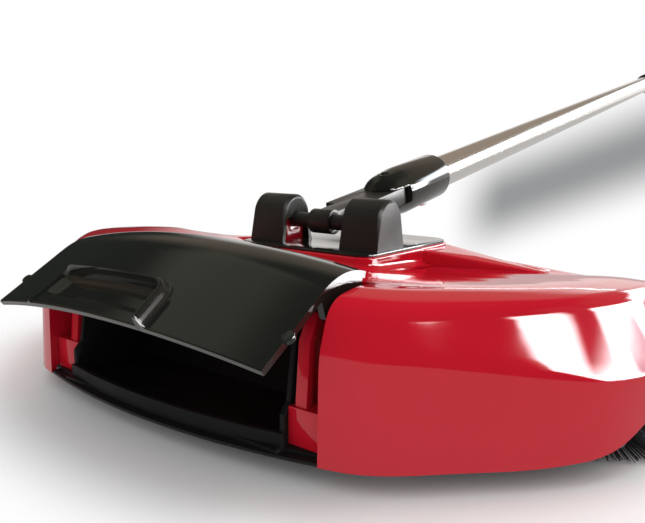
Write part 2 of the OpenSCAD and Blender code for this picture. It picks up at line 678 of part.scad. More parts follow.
// Door panel section, as radius about the bow's centre and height: a leaning lower part
// that rolls over into the top
door_foot = floor_gap + 2.7;
door_lean = 84;
door_roll_r = 30;
door_roll_z = h - 17.2;
door_roll_end = 36;
roll_x = bow_r - (door_roll_z - door_foot) / tan(door_lean);
function door_edge(t) = concat(
    [[bow_r - t * sin(door_lean), door_foot]],
    [for (i = [0:8]) let (a = door_lean + (door_roll_end - door_lean) * i / 8)
        [roll_x - door_roll_r * (sin(door_lean) - sin(a)) - t * sin(a),
         door_roll_z + door_roll_r * (cos(a) - cos(door_lean)) - t * cos(a)]]);
module door_section(t0, t1) {
    a = door_edge(t0);
    b = door_edge(t1);
    polygon(concat(a, [for (i = [len(b) - 1:-1:0]) b[i]]));
}
// The section revolved along the bow, between two planes across the head
module bowed(x0, x1) {
    intersection() {
        translate([0, bow_y, 0]) rotate_extrude($fn = 200) children();
        translate([x0, -r - 20, 0]) cube([x1 - x0, 60, h + 20]);
    }
}
pull_x = -10.5;                            // middle of the finger pull
pull_top = door_foot + 20.5;               // upper edge of its rim
pull_flare = 2.5;                          // how much its cheeks spread towards the free edge
pull_half = pull_w / 2 + pull_flare;
pull_cheek = 2.6;                          // how far a cheek slopes in up to the rim's crest
// Outline of the finger pull, open at the door's free edge, seen from outside
module pull_outline(inset, corner) {
    half = pull_w / 2 - inset - corner;
    polygon(concat([[pull_x - half - corner - pull_flare, door_foot - 1]],
        [for (i = [0:13]) let (a = 172 - 164 * i / 13)
            [pull_x + (a > 90 ? -half : half) + corner * cos(a), pull_top - inset - corner + corner * sin(a)]],
        [[pull_x + half + corner + pull_flare, door_foot - 1]]));
}
// Slice of the finger pull's outline, standing d outside the door's foot
module pull_slice(d, inset, corner) {
    translate([0, d - r, 0]) rotate([90, 0, 0]) linear_extrude(0.1) pull_outline(inset, corner);
}
// Rim round the fingertips with sloping cheeks, and a hollow under its upper edge
module finger_pull() {
    difference() {
        intersection() {
            bowed(pull_x - pull_half, pull_x + pull_half) intersection() {
                door_section(-pull_h, door_t / 2);
                translate([bow_r - 20, door_foot]) square([60, 30]);
            }
            hull() {
                pull_slice(12, 0, 7);
                pull_slice(0, 0, 7);
                pull_slice(-pull_h - 1, pull_cheek, 5);
            }
        }
        intersection() {
            bowed(pull_x - pull_half, pull_x + pull_half) door_section(-pull_h - 4, -0.3);
            translate([0, -r + 20, 0]) rotate([90, 0, 0]) linear_extrude(60) pull_outline(pull_cheek + 0.8, 4);
        }
    }
}
module dust_door() {
    arm_in = door_half - 2.4;
    color(black) translate([0, hinge_y, hinge_z]) rotate([-door_open, 0, 0]) translate([0, -hinge_y, -hinge_z]) {
        difference() {
            union() {
                bowed(-door_half, door_half) door_section(0, door_t);
                finger_pull();
            }
            // Scoop behind the rim
            intersection() {
                translate([0, bow_y, 0]) rotate_extrude($fn = 200)
                    translate([bow_r + 1.2, pull_top - 9.5]) scale([0.45, 1]) circle(r = 6, $fn = 48);
                translate([pull_x - pull_w / 2 + pull_cheek + 2, -r - 20, 0])
                    cube([pull_w - 2 * pull_cheek - 4, 60, h + 20]);
            }
        }
        both() {
            // Side arm down to the hinge pin
            across(arm_in, door_half) difference() {
                union() {
                    polygon([[mouth_y + 4.6, h - 20], [mouth_y + 7.4, h - 8], [mouth_y + 10.9, h - 2],
                        [mouth_y + 15.4, h + 2.2], [hinge_y + 4.5, hinge_z + 1], [hinge_y, hinge_z - 4.5],
                        [mouth_y + 11.4, h - 22]]);
                    translate([hinge_y, hinge_z]) circle(r = 5);
                }
                translate([mouth_y + 19.4, h + 3]) circle(r = 4);
            }
            rod_x(post_in + 1, arm_in + eps, hinge_pin_d, hinge_y, hinge_z);
            // Snap nub on the side edge
            translate([door_half, mouth_y + 2, door_foot + 14]) rotate([90, 0, 0]) cylinder(h = 1.6, r = 2.2);
        }
    }
}

// Places its children in the handle's own frame: Y along the tubes, Z square to them
module in_handle() {
    translate([0, pivot_y, pivot_z]) rotate([rest_angle, 0, 0]) children();
}
tongue_w = 23;
tongue_t = 9;
tongue_in = 18;                            // where the narrow neck widens into the tongue
module yoke() {
    color(black) in_handle() difference() {
        union() {
            rod_x(-6, 6, crossbar_d + 4.4, 0, 0);
            translate([-6, 0, -tongue_t / 2]) cube([12, tongue_in + 1, tongue_t]);
            translate([-tongue_w / 2, tongue_in, -tongue_t / 2]) cube([tongue_w, swivel_at - tongue_in, tongue_t]);
            translate([0, swivel_at, -tongue_t / 2]) cylinder(h = tongue_t, d = tongue_w);
        }
        rod_x(-tongue_w, tongue_w, crossbar_d + 2 * fix_gap, 0, 0);
        translate([0, swivel_at, -10]) cylinder(h = 20, d = swivel_d + 2 * run_gap);
    }
}
crossbar_half = tower_gap / 2 + tower_w - 4;
module crossbar() {
    color(black) in_handle() rod_x(-crossbar_half, crossbar_half, crossbar_d, 0, 0);
}

ear_in = tongue_t / 2 + slide_gap;
neck_in = tongue_w / 2 + 0.6;              // hollow of the socket round the tongue's end
nose_r = tongue_w / 2 + 0.8;               // rounded end of the socket over the swivel pin
socket_r = tube_d / 2 + 3.5;
tube_start = swivel_at + 24;
module along(s0, s1, d) {
    translate([0, s0, 0]) rotate([-90, 0, 0]) cylinder(h = s1 - s0, d = d);
}
module tube_socket() {
    s = swivel_at;
    mouth = s + socket_len;
    color(black) in_handle() difference() {
        translate([0, s, 0]) rotate([-90, 0, 0]) rotate_extrude() polygon(concat(
            [[0, -nose_r]], [for (a = [-76:12:-4]) nose_r * [cos(a), sin(a)]],
            [[socket_r, 12], [socket_r, socket_len - 2], [socket_r - 1.5, socket_len], [0, socket_len]]));
        // Slot that the tongue swings in
        translate([0, s, -ear_in]) linear_extrude(2 * ear_in) {
            circle(r = neck_in);
            translate([-20, -20]) square([40, 28]);
        }
        translate([0, s, -20]) cylinder(h = 40, d = swivel_d);
        along(tube_start, mouth + 1, tube_d + 2 * fix_gap);
        translate([0, mouth - 15, -socket_r - 1]) cylinder(h = 10, d = 3.1);
    }
}
module swivel_pin() {
    pin_half = nose_r - 1.2;
    color(steel) in_handle() translate([0, swivel_at, -pin_half]) cylinder(h = 2 * pin_half, d = swivel_d);
}
module tube(s0, len) {
    difference() {
        along(s0, s0 + len, tube_d);
        along(s0 - 1, s0 + len + 1, tube_d - 2 * tube_wall);
        children();
    }
}
module lower_tube() {
    color(steel) in_handle() tube(tube_start, lower_len)
        for (s = [swivel_at + socket_len - 15, coupler_mid - 15]) translate([0, s, -tube_d])
            cylinder(h = tube_d, d = 3.1);
}
module socket_screw() {
    color(steel) in_handle() translate([0, swivel_at + socket_len - 15, -socket_r - 1.6]) screw(3, 6, 1.6, 6);
}
coupler_mid = tube_start + lower_len + 0.6;
module tube_coupler() {
    color(black) in_handle() difference() {
        union() {
            along(coupler_mid - 30, coupler_mid + 30, tube_d + 4);
            for (s = [-30, 25]) along(coupler_mid + s, coupler_mid + s + 5, tube_d + 5.5);
        }
        for (s = [-31, 0.6]) along(coupler_mid + s, coupler_mid + s + 30.4, tube_d + 2 * fix_gap);
        along(coupler_mid - 1, coupler_mid + 1, tube_d - 4);
        for (s = [-15, 15]) translate([0, coupler_mid + s, -tube_d]) cylinder(h = tube_d, d = 3.1);
    }
}
module coupler_screws() {
    color(steel) in_handle() for (s = [-15, 15]) translate([0, coupler_mid + s, -tube_d / 2 - 3.6])
        screw(3, 5.6, 1.6, 5.5);
}
upper_start = coupler_mid + 0.6;
module upper_tube() {
    color(steel) in_handle() tube(upper_start, upper_len)
        translate([0, coupler_mid + 15, -tube_d]) cylinder(h = tube_d, d = 3.1);
}
grip_end = upper_start + upper_len + 24;
grip_r = tube_d / 2 + 4.5;
lobe_t = 14;                               // eye at the grip's end: thickness and width
lobe_d = 22;
module grip() {
    s0 = grip_end - grip_len;
    color(black) in_handle() difference() {
        union() {
            translate([0, s0, 0]) rotate([-90, 0, 0]) rotate_extrude() polygon(concat([[0, 0], [grip_r - 3, 0]],
                [for (i = [0:24]) let (v = i / 24) [grip_r - 1.2 * (1 - cos(v * 4 * 360)) / 2 - (i == 0 ? 2 : 0),
                    2 + v * (grip_len - 30)]],
                [[grip_r - 2, grip_len - 24], [grip_r - 4.5, grip_len - 21], [0, grip_len - 21]]));
            rod_x(-lobe_t / 2, lobe_t / 2, lobe_d, grip_end - lobe_d / 2, 0);
            translate([-lobe_t / 2, grip_end - 22, -lobe_d / 2]) cube([lobe_t, 22 - lobe_d / 2, lobe_d]);
        }
        along(s0 - 1, upper_start + upper_len + 0.1, tube_d + 2 * fix_gap);
        rod_x(-20, 20, hang_d, grip_end - 9, 0);
    }
}

top_cover();
base_frame();
dust_tray();
door_post_left();
door_post_right();
trim_plate();
pivot_saddles();
saddle_screws();
pivot_cap_left();
pivot_cap_right();
cover_screws();
bearing_plate_left();
bearing_plate_right();
gear_cover();
plate_spacers();
axle_bushes();
roller_bushes();
idler_pin();
brush_bridge_left();
brush_bridge_right();
brush_spindles();
spindle_retainers();
drive_axle();
wheel_left();
wheel_right();
tyre_left();
tyre_right();
axle_gear();
idler_gear();
roller_shaft();
roller_core();
roller_bristles();
roller_gear();
pinion_left();
pinion_right();
brush_hub_left();
brush_hub_right();
corner_bristles_left();
corner_bristles_right();
dust_door();
yoke();
crossbar();
tube_socket();
swivel_pin();
lower_tube();
socket_screw();
tube_coupler();
coupler_screws();
upper_tube();
grip();
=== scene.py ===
# %% [markdown]
# # A push-along carpet sweeper
#
# The sweeper's mechanical model is finished and measured: every piece has its place and its body. This
# lesson dresses it. Each step first says what the piece or the finish is on the real sweeper, then how it
# could be made in Blender, and then makes it. Lengths are in metres, or in millimetres where a shape is
# drawn. The floor is at z = 0, the dust door faces -Y and the brushes are at the +Y end.

# %% Loading the measured model
import json
import math

import bmesh
import bpy
import numpy as np
from mathutils import Matrix, Vector
from mathutils.bvhtree import BVHTree


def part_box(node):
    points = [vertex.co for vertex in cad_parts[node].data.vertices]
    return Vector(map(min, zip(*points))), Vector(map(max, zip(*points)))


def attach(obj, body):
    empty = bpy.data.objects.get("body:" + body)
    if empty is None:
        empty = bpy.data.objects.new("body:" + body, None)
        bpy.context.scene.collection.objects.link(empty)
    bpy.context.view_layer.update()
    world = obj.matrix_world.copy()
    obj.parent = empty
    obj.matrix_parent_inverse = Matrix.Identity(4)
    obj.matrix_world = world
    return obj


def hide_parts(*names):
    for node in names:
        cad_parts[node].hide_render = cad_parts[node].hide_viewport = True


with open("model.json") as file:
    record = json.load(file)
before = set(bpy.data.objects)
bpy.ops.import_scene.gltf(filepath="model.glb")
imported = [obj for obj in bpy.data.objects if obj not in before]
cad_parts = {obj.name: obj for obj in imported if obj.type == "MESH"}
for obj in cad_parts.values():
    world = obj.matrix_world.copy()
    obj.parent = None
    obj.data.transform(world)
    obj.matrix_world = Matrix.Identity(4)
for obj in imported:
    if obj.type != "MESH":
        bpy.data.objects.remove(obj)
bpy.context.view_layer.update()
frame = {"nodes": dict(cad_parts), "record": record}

scene = bpy.context.scene
print("pieces in the measured model:", len(frame["nodes"]))

# %% [markdown]
# ## The camera
#
# We look at the dust door's end from the right, a little above the deck, so that the open door and the long
# handle are both in view. A camera can be aimed with a constraint, but a constraint is one more thing to
# carry along, so its turn is worked out once from its heading, its dip and a slight roll. A small vertical
# shift keeps the level of the lens while the frame reaches further down.

# %% The camera
heading, dip, roll = math.radians(35.954), math.radians(8.162), math.radians(0.273)
camera = bpy.data.objects.new("camera", bpy.data.cameras.new("camera"))
camera.location = (0.1878, -0.2585, 0.1076)
aimed = Matrix.Rotation(heading, 3, "Z") @ Matrix.Rotation(math.pi / 2 - dip, 3, "X")
camera.rotation_euler = (aimed @ Matrix.Rotation(roll, 3, "Z")).to_euler()
camera.data.lens = 36.84
camera.data.shift_y = -0.0343
camera.data.clip_start = 0.01
scene.collection.objects.link(camera)
scene.camera = camera
print("camera at", tuple(round(v, 3) for v in camera.location))

# %% [markdown]
# ## Tools for building node trees
#
# Materials and Geometry Nodes are both trees of nodes joined by links. Clicking them together by hand is
# slow to repeat, so two small helpers add a node, set its values and join its inputs in one line. A value
# that is itself a socket becomes a link, and anything else is written into the socket.

# %% A helper for nodes
def put(tree, kind, settings=None, **inputs):
    """Adds a node; inputs are named by their socket, with _ for a space, or by their number as n0, n1."""
    node = tree.nodes.new(kind)
    for key, value in (settings or {}).items():
        setattr(node, key, value)
    for key, value in inputs.items():
        if key[0] == "n" and key[1:].isdigit():
            socket = node.inputs[int(key[1:])]
        else:
            socket = next(s for s in node.inputs if s.name == key.replace("_", " ") and s.enabled)
        if isinstance(value, bpy.types.NodeSocket):
            tree.links.new(value, socket)
        else:
            socket.default_value = value
    return node


def math_node(tree, operation, a, b=0.0):
    return put(tree, "ShaderNodeMath", {"operation": operation}, n0=a, n1=b).outputs[0]


def colour_mix(tree, amount, under, over):
    return put(tree, "ShaderNodeMix", {"data_type": "RGBA"}, Factor=amount, n6=under, n7=over).outputs[2]


# %% [markdown]
# ## The finishes
#
# Almost everything here is moulded plastic, and what tells one moulding from the next is its surface: a
# polished mould gives a deep gloss with a hint of waviness, a spark-eroded one gives an even satin grain,
# and dust lies on both. One recipe covers them all. A fine noise bumps the surface, a broad one makes the
# gloss uneven in soft patches and drifts the colour by a few percent, and a third one scatters specks of
# dust. The patterns read Object coordinates, so they stay on the piece when it moves.

# %% The recipe for a moulded finish
def moulding(name, colour, rough, drift, grain, grain_depth, uneven, specular=0.5, metallic=0.0, coat=0.0,
             squeeze=(1, 1, 1), dust=0.0):
    """drift and uneven are how far colour and roughness wander, grain the fineness of the bumps."""
    material = bpy.data.materials.new(name)
    material.use_nodes = True
    tree = material.node_tree
    shader = tree.nodes["Principled BSDF"]
    where = put(tree, "ShaderNodeTexCoord").outputs["Object"]
    place = put(tree, "ShaderNodeMapping", Vector=where, Scale=squeeze).outputs[0]
    broad = put(tree, "ShaderNodeTexNoise", Vector=place, Scale=28.0, Detail=4.0, Roughness=0.6).outputs[0]
    fine = put(tree, "ShaderNodeTexNoise", Vector=place, Scale=grain, Detail=3.0, Roughness=0.55).outputs[0]
    light = tuple(min(1.0, c * (1 + drift) + drift * 0.02) for c in colour)
    dark = tuple(c * (1 - drift) for c in colour)
    tint = colour_mix(tree, broad, (*dark, 1), (*light, 1))
    if dust:
        specks = put(tree, "ShaderNodeTexNoise", Vector=where, Scale=2600.0, Detail=1.0).outputs[0]
        amount = put(tree, "ShaderNodeMapRange", Value=specks, From_Min=0.72, From_Max=0.8, To_Min=0.0,
                     To_Max=dust).outputs[0]
        tint = colour_mix(tree, amount, tint, (0.55, 0.53, 0.5, 1))
    gloss = put(tree, "ShaderNodeMapRange", Value=broad, From_Min=0.3, From_Max=0.7,
                To_Min=max(0.0, rough - uneven), To_Max=rough + uneven).outputs[0]
    bump = put(tree, "ShaderNodeBump", Height=fine, Strength=1.0, Distance=grain_depth).outputs[0]
    tree.links.new(tint, shader.inputs["Base Color"])
    tree.links.new(gloss, shader.inputs["Roughness"])
    tree.links.new(bump, shader.inputs["Normal"])
    shader.inputs["Metallic"].default_value = metallic
    shader.inputs["Specular IOR Level"].default_value = specular
    shader.inputs["Coat Weight"].default_value = coat
    shader.inputs["Coat Roughness"].default_value = 0.03
    return material


# %% The plastics, metals and rubber
red_gloss = moulding("red_gloss", (0.55, 0.008, 0.022), rough=0.07, drift=0.06, grain=160,
                     grain_depth=0.000006, uneven=0.02, coat=0.2, dust=0.05)
black_gloss = moulding("black_gloss", (0.0105, 0.0115, 0.009), rough=0.09, drift=0.1, grain=140,
                       grain_depth=0.000006, uneven=0.03, coat=0.15, dust=0.04)
black_satin = moulding("black_satin", (0.013, 0.013, 0.011), rough=0.36, drift=0.12, grain=1500,
                       grain_depth=0.00003, uneven=0.05, dust=0.04)
black_chassis = moulding("black_chassis", (0.018, 0.018, 0.019), rough=0.55, drift=0.15, grain=1100,
                         grain_depth=0.00005, uneven=0.06, dust=0.12)
tray_black = moulding("tray_black", (0.005, 0.005, 0.0055), rough=0.5, drift=0.15, grain=900,
                      grain_depth=0.00004, uneven=0.08, specular=0.22, dust=0.05)
zinc = moulding("zinc_plated_steel", (0.6, 0.6, 0.62), rough=0.3, drift=0.12, grain=500,
                grain_depth=0.00001, uneven=0.1, metallic=1.0)
nylon = moulding("natural_nylon", (0.78, 0.76, 0.69), rough=0.42, drift=0.05, grain=700,
                 grain_depth=0.00002, uneven=0.06)
rubber = moulding("tyre_rubber", (0.018, 0.018, 0.018), rough=0.75, drift=0.2, grain=1300,
                  grain_depth=0.00007, uneven=0.08, dust=0.2)
grip_rubber = moulding("grip_rubber", (0.02, 0.02, 0.022), rough=0.62, drift=0.12, grain=1800,
                       grain_depth=0.00006, uneven=0.06, dust=0.08)
bristle = moulding("bristle_nylon", (0.012, 0.012, 0.013), rough=0.34, drift=0.3, grain=2200,
                   grain_depth=0.00002, uneven=0.08, dust=0.1)
polished = moulding("polished_aluminium", (0.84, 0.82, 0.79), rough=0.16, drift=0.04, grain=300,
                    grain_depth=0.000008, uneven=0.05, metallic=1.0, squeeze=(1, 0.02, 1))
slots = {"red_gloss": red_gloss, "black_gloss": black_gloss, "black_satin": black_satin,
         "black_chassis": black_chassis, "tray_black": tray_black, "steel": zinc, "polished_tube": polished,
         "nylon": nylon, "rubber": rubber, "bristle": bristle, "grip_rubber": grip_rubber}
print("finishes:", len(slots))

# %% [markdown]
# Every measured piece already names its finish in the part's record. Looking the name up there gives each
# piece its material at once, also the gears and bushes that only show when the sweeper is turned over.

# %% Each measured piece gets its finish
slot_of = {piece["node"]: piece["material_slot"] for piece in frame["record"]["subparts"]}
for name, piece in frame["nodes"].items():
    piece.data.materials.clear()
    piece.data.materials.append(slots[slot_of[name]])
body_of = {node: body for body, nodes in frame["record"]["behaviour"]["bodies"].items() for node in nodes}
print("dressed", len(slot_of), "measured pieces")

# %% [markdown]
# ## Softened edges
#
# A moulded or turned piece never has a perfectly sharp edge, and the thin line of light along it is what the
# eye takes for real plastic. The measured pieces are exact but sharp, and their mesh is loose triangles. So a
# piece that shows is copied, its triangles are joined up and its flat faces made whole again, and a Bevel
# modifier rounds the edges. The copy then stands in for the measured piece.

# %% A helper that finishes a new piece
def settle(piece, body, slot, *replaced):
    """Puts a finished piece on its body, in its finish."""
    if not any(piece.data.materials):
        piece.data.materials.clear()
        piece.data.materials.append(slots[slot])
    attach(piece, body)
    if replaced:
        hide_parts(*replaced)
    return piece


def plain_mesh(piece):
    """Applies the modifiers of a piece and keeps the result as its mesh."""
    bpy.context.view_layer.update()
    result = bpy.data.meshes.new_from_object(piece.evaluated_get(bpy.context.evaluated_depsgraph_get()))
    piece.modifiers.clear()
    piece.data = result
    return result


def smooth(mesh, angle=32.0):
    mesh.polygons.foreach_set("use_smooth", [True] * len(mesh.polygons))
    mesh.set_sharp_from_angle(angle=math.radians(angle))


def healed(node):
    """A copy of a measured piece with its triangles joined up and its flat faces made whole."""
    mesh = frame["nodes"][node].data.copy()
    work = bmesh.new()
    work.from_mesh(mesh)
    bmesh.ops.remove_doubles(work, verts=work.verts, dist=0.000004)
    bmesh.ops.dissolve_limit(work, angle_limit=math.radians(0.8), verts=work.verts, edges=work.edges)
    work.to_mesh(mesh)
    work.free()
    piece = bpy.data.objects.new(node + "_softened", mesh)
    scene.collection.objects.link(piece)
    return piece


def soften(piece, node, radius, segments=2, angle=32.0):
    """Rounds a piece's edges and lets it stand in for the measured one."""
    bevel = piece.modifiers.new("edges", "BEVEL")
    bevel.width, bevel.segments, bevel.limit_method = radius, segments, "ANGLE"
    bevel.angle_limit = math.radians(angle)
    smooth(plain_mesh(piece), angle)
    return settle(piece, body_of[node], slot_of[node], node)


# %% Softened pieces
edge_rounds = {"pivot_saddles": 0.0005, "trim_plate": 0.0004, "dust_tray": 0.0004, "yoke": 0.0006,
               "crossbar": 0.0004, "tube_socket": 0.0004, "tube_coupler": 0.0004, "wheel_left": 0.0003,
               "wheel_right": 0.0003, "base_frame": 0.0003}
for node, radius in edge_rounds.items():
    made = soften(healed(node), node, radius)
    print(made.name, len(made.data.polygons), "faces")

# %% [markdown]
# ## Tools for solid shapes
#
# The moulded pieces are solids, and three ways of making one cover them all: a prism is an outline pushed
# along an axis, a loft is a skin over rings, and a hull is the tightest skin round some points. Solids are
# then joined and cut with the Boolean modifier, as a toolmaker joins and cuts blocks. Each helper hands back
# an object whose faces point outwards.

# %% Making a solid
def solid(name, points, faces):
    mesh = bpy.data.meshes.new(name)
    mesh.from_pydata([tuple(p) for p in points], [], faces)
    work = bmesh.new()
    work.from_mesh(mesh)
    bmesh.ops.remove_doubles(work, verts=work.verts, dist=0.000002)
    bmesh.ops.recalc_face_normals(work, faces=work.faces)
    work.to_mesh(mesh)
    work.free()
    piece = bpy.data.objects.new(name, mesh)
    scene.collection.objects.link(piece)
    return piece


def loft(name, rings):
    """A solid whose skin runs through rings of equally many points, closed at both ends."""
    n = len(rings[0])
    points = [p for ring in rings for p in ring]
    faces = [(r * n + i, r * n + (i + 1) % n, (r + 1) * n + (i + 1) % n, (r + 1) * n + i)
             for r in range(len(rings) - 1) for i in range(n)]
    faces += [tuple(range(n)), tuple(range(len(points) - n, len(points)))]
    return solid(name, points, faces)


def prism(name, outline, low, high, axis="Z"):
    """An outline pushed along Z, or, drawn in Y and Z, along X."""
    if axis == "Z":
        return loft(name, [[(a, b, level) for a, b in outline] for level in (low, high)])
    return loft(name, [[(level, a, b) for a, b in outline] for level in (low, high)])


def hull(name, points):
    work = bmesh.new()
    for point in points:
        work.verts.new(point)
    found = bmesh.ops.convex_hull(work, input=work.verts)
    loose = set(found["geom_interior"]) | set(found["geom_unused"])
    bmesh.ops.delete(work, geom=[v for v in loose if isinstance(v, bmesh.types.BMVert)], context="VERTS")
    mesh = bpy.data.meshes.new(name)
    work.to_mesh(mesh)
    work.free()
    piece = bpy.data.objects.new(name, mesh)
    scene.collection.objects.link(piece)
    return piece


def combine(target, operation, *others):
    """Joins solids to the target, or cuts them from it, and keeps the result as the target's mesh."""
    for other in others:
        step = target.modifiers.new("combine", "BOOLEAN")
        step.operation, step.object, step.solver = operation, other, "MANIFOLD"
        plain_mesh(target)
        bpy.data.objects.remove(other)
    return target


def circle(x, y, radius, count=32):
    return [(x + radius * math.cos(2 * math.pi * k / count),
             y + radius * math.sin(2 * math.pi * k / count)) for k in range(count)]


def on_side(side, near, far):
    """Both ends of a stretch of X on one side of the middle, the lower end first."""
    return sorted((side * near, side * far))


# %% [markdown]
# ## The red cover
#
# The cover is one moulding with a long, slowly changing side: a steep wall over each pod beside the dust
# bin, a band that leans in over the wheels, and a lower brow round the brushes. Sculpting that by eye gives
# lumps that a gloss finish shows at once. Instead the side is described by a few upright profiles set round
# the head, each with a lower crease and an upper crease, and one smooth curve runs through them. The profiles
# are drawn for half the head, in millimetres, and follow the measured cover's own corners.

# %% Profiles round the head
mm = 0.001


def metres(outline):
    """An outline drawn in millimetres."""
    return [(a * mm, b * mm) for a, b in outline]


half_width, front, height = (round(v / mm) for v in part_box("top_cover")[1])
rear, gap = -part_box("dust_tray")[0][1] / mm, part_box("base_frame")[0][2] / mm
open_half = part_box("dust_tray")[1][0] / mm + 0.3
cover_wall = 2.6
bow_radius = 310.0
bow_centre = bow_radius - rear


def bow_line(x, radius=bow_radius):
    return bow_centre - math.sqrt(radius * radius - x * x)


corner = bow_line(open_half)
# place, then distance inwards and height at the foot, the lower crease, the upper crease and the deck's rim
profiles = [np.array(row, dtype=float) for row in (
    (0, -rear, gap, 0.5, height - 19, 6, height - 2, 22, height),
    (40, bow_line(40), gap, 0.5, height - 19, 6, height - 2, 22, height),
    (half_width - 86, corner - 0.2, gap, 0.5, height - 19, 6, height - 2, 22, height),
    (half_width - 69, corner + 6.2, gap, 1.5, height - 19, 8, height - 3, 24, height - 0.5),
    (half_width - 50, corner + 21.9, gap, 2.5, height - 21, 10, height - 4, 25, height - 1.5),
    (half_width - 27, corner + 43.9, gap, 1, height - 26, 10, height - 3.5, 25, height - 2),
    (half_width - 12, corner + 63.4, gap + 3, 0, height - 29, 11, height - 3, 27, height - 2.5),
    (half_width - 2, -14, gap + 16, 0, height - 29, 13, height - 4, 30, height - 3.5),
    (half_width, 14, gap + 17, 0, height - 29, 14, height - 6, 30, height - 5),
    (half_width - 6, 40, gap + 16, 0, height - 30, 13, height - 9, 28, height - 7.5),
    (half_width - 23, front - 18, gap + 11, 0, height - 30, 10, height - 13, 24, height - 11),
    (half_width - 48, front - 7.5, gap + 6, 1, height - 30, 8, height - 15, 20, height - 12.5),
    (60, front - 2.2, gap + 4, 2, height - 28, 8, height - 14, 18, height - 10),
    (0, front, gap + 4, 2, height - 28, 8, height - 13, 18, height - 8))]
spans = len(profiles) - 1
flip = np.array([-1] + [1] * 8)


def profile_number(i):
    if i < 0:
        return profiles[-i] * flip
    return profiles[i] if i <= spans else profiles[2 * spans - i] * flip


def profile_at(u):
    """The profile at u, on a smooth curve through the ones that are drawn."""
    i = min(int(u), spans - 1)
    t = u - i
    a, b, c, d = (profile_number(i + k) for k in (-1, 0, 1, 2))
    return 0.5 * (2 * b + (c - a) * t + (2 * a - 5 * b + 4 * c - d) * t * t
                  + (3 * b - a - 3 * c + d) * t ** 3)


def inwards_at(u):
    """The level direction that points into the head, square to the foot line at u."""
    little = 0.05
    a, b = profile_at(max(u - little, 0)), profile_at(min(u + little, spans))
    along = (b - a)[:2]
    if u < little:
        along = np.array((1.0, 0.0))
    elif u > spans - little:
        along = np.array((-1.0, 0.0))
    along /= np.linalg.norm(along)
    return np.array((-along[1], along[0]))


print("profiles:", len(profiles), " from", round(-rear), "to", round(front), "mm along the head")


# %% [markdown]
# ### From profiles to a skin
#
# Each profile becomes a column of points: up the side with its two rounded creases, over the rim, and along
# the deck to its middle line. From one drawn profile to the next, the smooth curve is read off in ten steps.
# The same columns drawn once more, a wall's thickness inside, give the inner skin, and a strip along the foot
# closes the two into one shell.

# %% The skin
def straight(a, b, count):
    return [a + (b - a) * k / count for k in range(count)]


def bent(a, b, c, count):
    """A curve from a to c that b pulls towards itself, without its last point."""
    return [(1 - t) ** 2 * a + 2 * t * (1 - t) * b + t * t * c for t in (k / count for k in range(count))]


def side_profile(s, crisp):
    """Foot to rim, with both creases rounded, less so where crisp is small."""
    p0, p1, p2, p3 = (np.array(p) for p in ((0, s[2]), (s[3], s[4]), (s[5], s[6]), (s[7], s[8])))
    a, b = p1 + (p0 - p1) * 0.25 * crisp, p1 + (p2 - p1) * 0.2 * crisp
    c, d = p2 + (p1 - p2) * 0.4 * crisp, p2 + (p3 - p2) * 0.45 * crisp
    return (straight(p0, a, 6) + bent(a, p1, b, 6) + straight(b, c, 5) + bent(c, p2, d, 8)
            + straight(d, p3, 4) + [p3])


def deck_middle(u):
    y = -62 + 110 * u / spans
    level = np.mean([np.interp(y + shift, (-62, -40, -15, 10, 48), (-0.5, -3, -8.5, -13, -11))
                     for shift in (-8, -4, 0, 4, 8)])
    return np.array((0, y, height + level))


def column(u, depth):
    """The points of the skin above one place on the lower edge, from the foot to the deck's middle."""
    s, inwards = profile_at(u), inwards_at(u)
    side = side_profile(s, np.interp(u, (2.5, 5.5, 9, 11), (1.0, 0.45, 0.45, 1.0)))
    last = len(side) - 1
    points = []
    for i, p in enumerate(side):
        run = side[min(i + 1, last)] - side[max(i - 1, 0)]
        run /= np.linalg.norm(run)
        p = p + depth * (np.array((1, 0)) if i == 0 else np.array((run[1], -run[0])))
        points.append(np.array((s[0] + inwards[0] * p[0], s[1] + inwards[1] * p[0], p[1])))
    rim, middle = points[-1], deck_middle(u) - (0, 0, depth)

    def deck(v):
        return np.array((rim[0] * (1 - v), rim[1] + (middle[1] - rim[1]) * v,
                         rim[2] + (middle[2] - rim[2]) * v * (2 - v)))

    over = bent(points[-3], rim, deck(0.1), 5)
    return points[:-3] + over + [deck(0.1 + 0.9 * k / 12) for k in range(13)]


def skin(depth, steps=10):
    half = [column(k / steps, depth) for k in range(spans * steps + 1)]
    return half + [[p * (-1, 1, 1) for p in line] for line in half[-2:0:-1]]


outer, inner = skin(0.0), skin(cover_wall)
rows, lines = len(outer[0]), len(outer)
faces = []
for i in range(lines):
    j = (i + 1) % lines
    for k in range(rows - 1):
        for start, turn in ((0, 1), (lines * rows, -1)):
            this, following = start + i * rows + k, start + j * rows + k
            faces.append((this, following, following + 1, this + 1)[::turn])
    faces.append((i * rows, lines * rows + i * rows, lines * rows + j * rows, j * rows))
cover = solid("red_cover", [p * mm for line in outer + inner for p in line], faces)
print("cover skin:", lines, "columns of", rows, "points")

# %% [markdown]
# ### The plinth
#
# The plinth that carries the handle rises from the deck with a soft foot, as a moulded boss does. The deck
# under it slopes, so the foot can't be drawn at one level: a ray is dropped on the skin below each point of
# the outline, and the foot's curve starts there.

# %% The plinth
plinth_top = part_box("trim_plate")[0][2] / mm
plinth_corners = ((31, -11, 9), (34, 44, 10))
ground = BVHTree.FromObject(cover, bpy.context.evaluated_depsgraph_get())


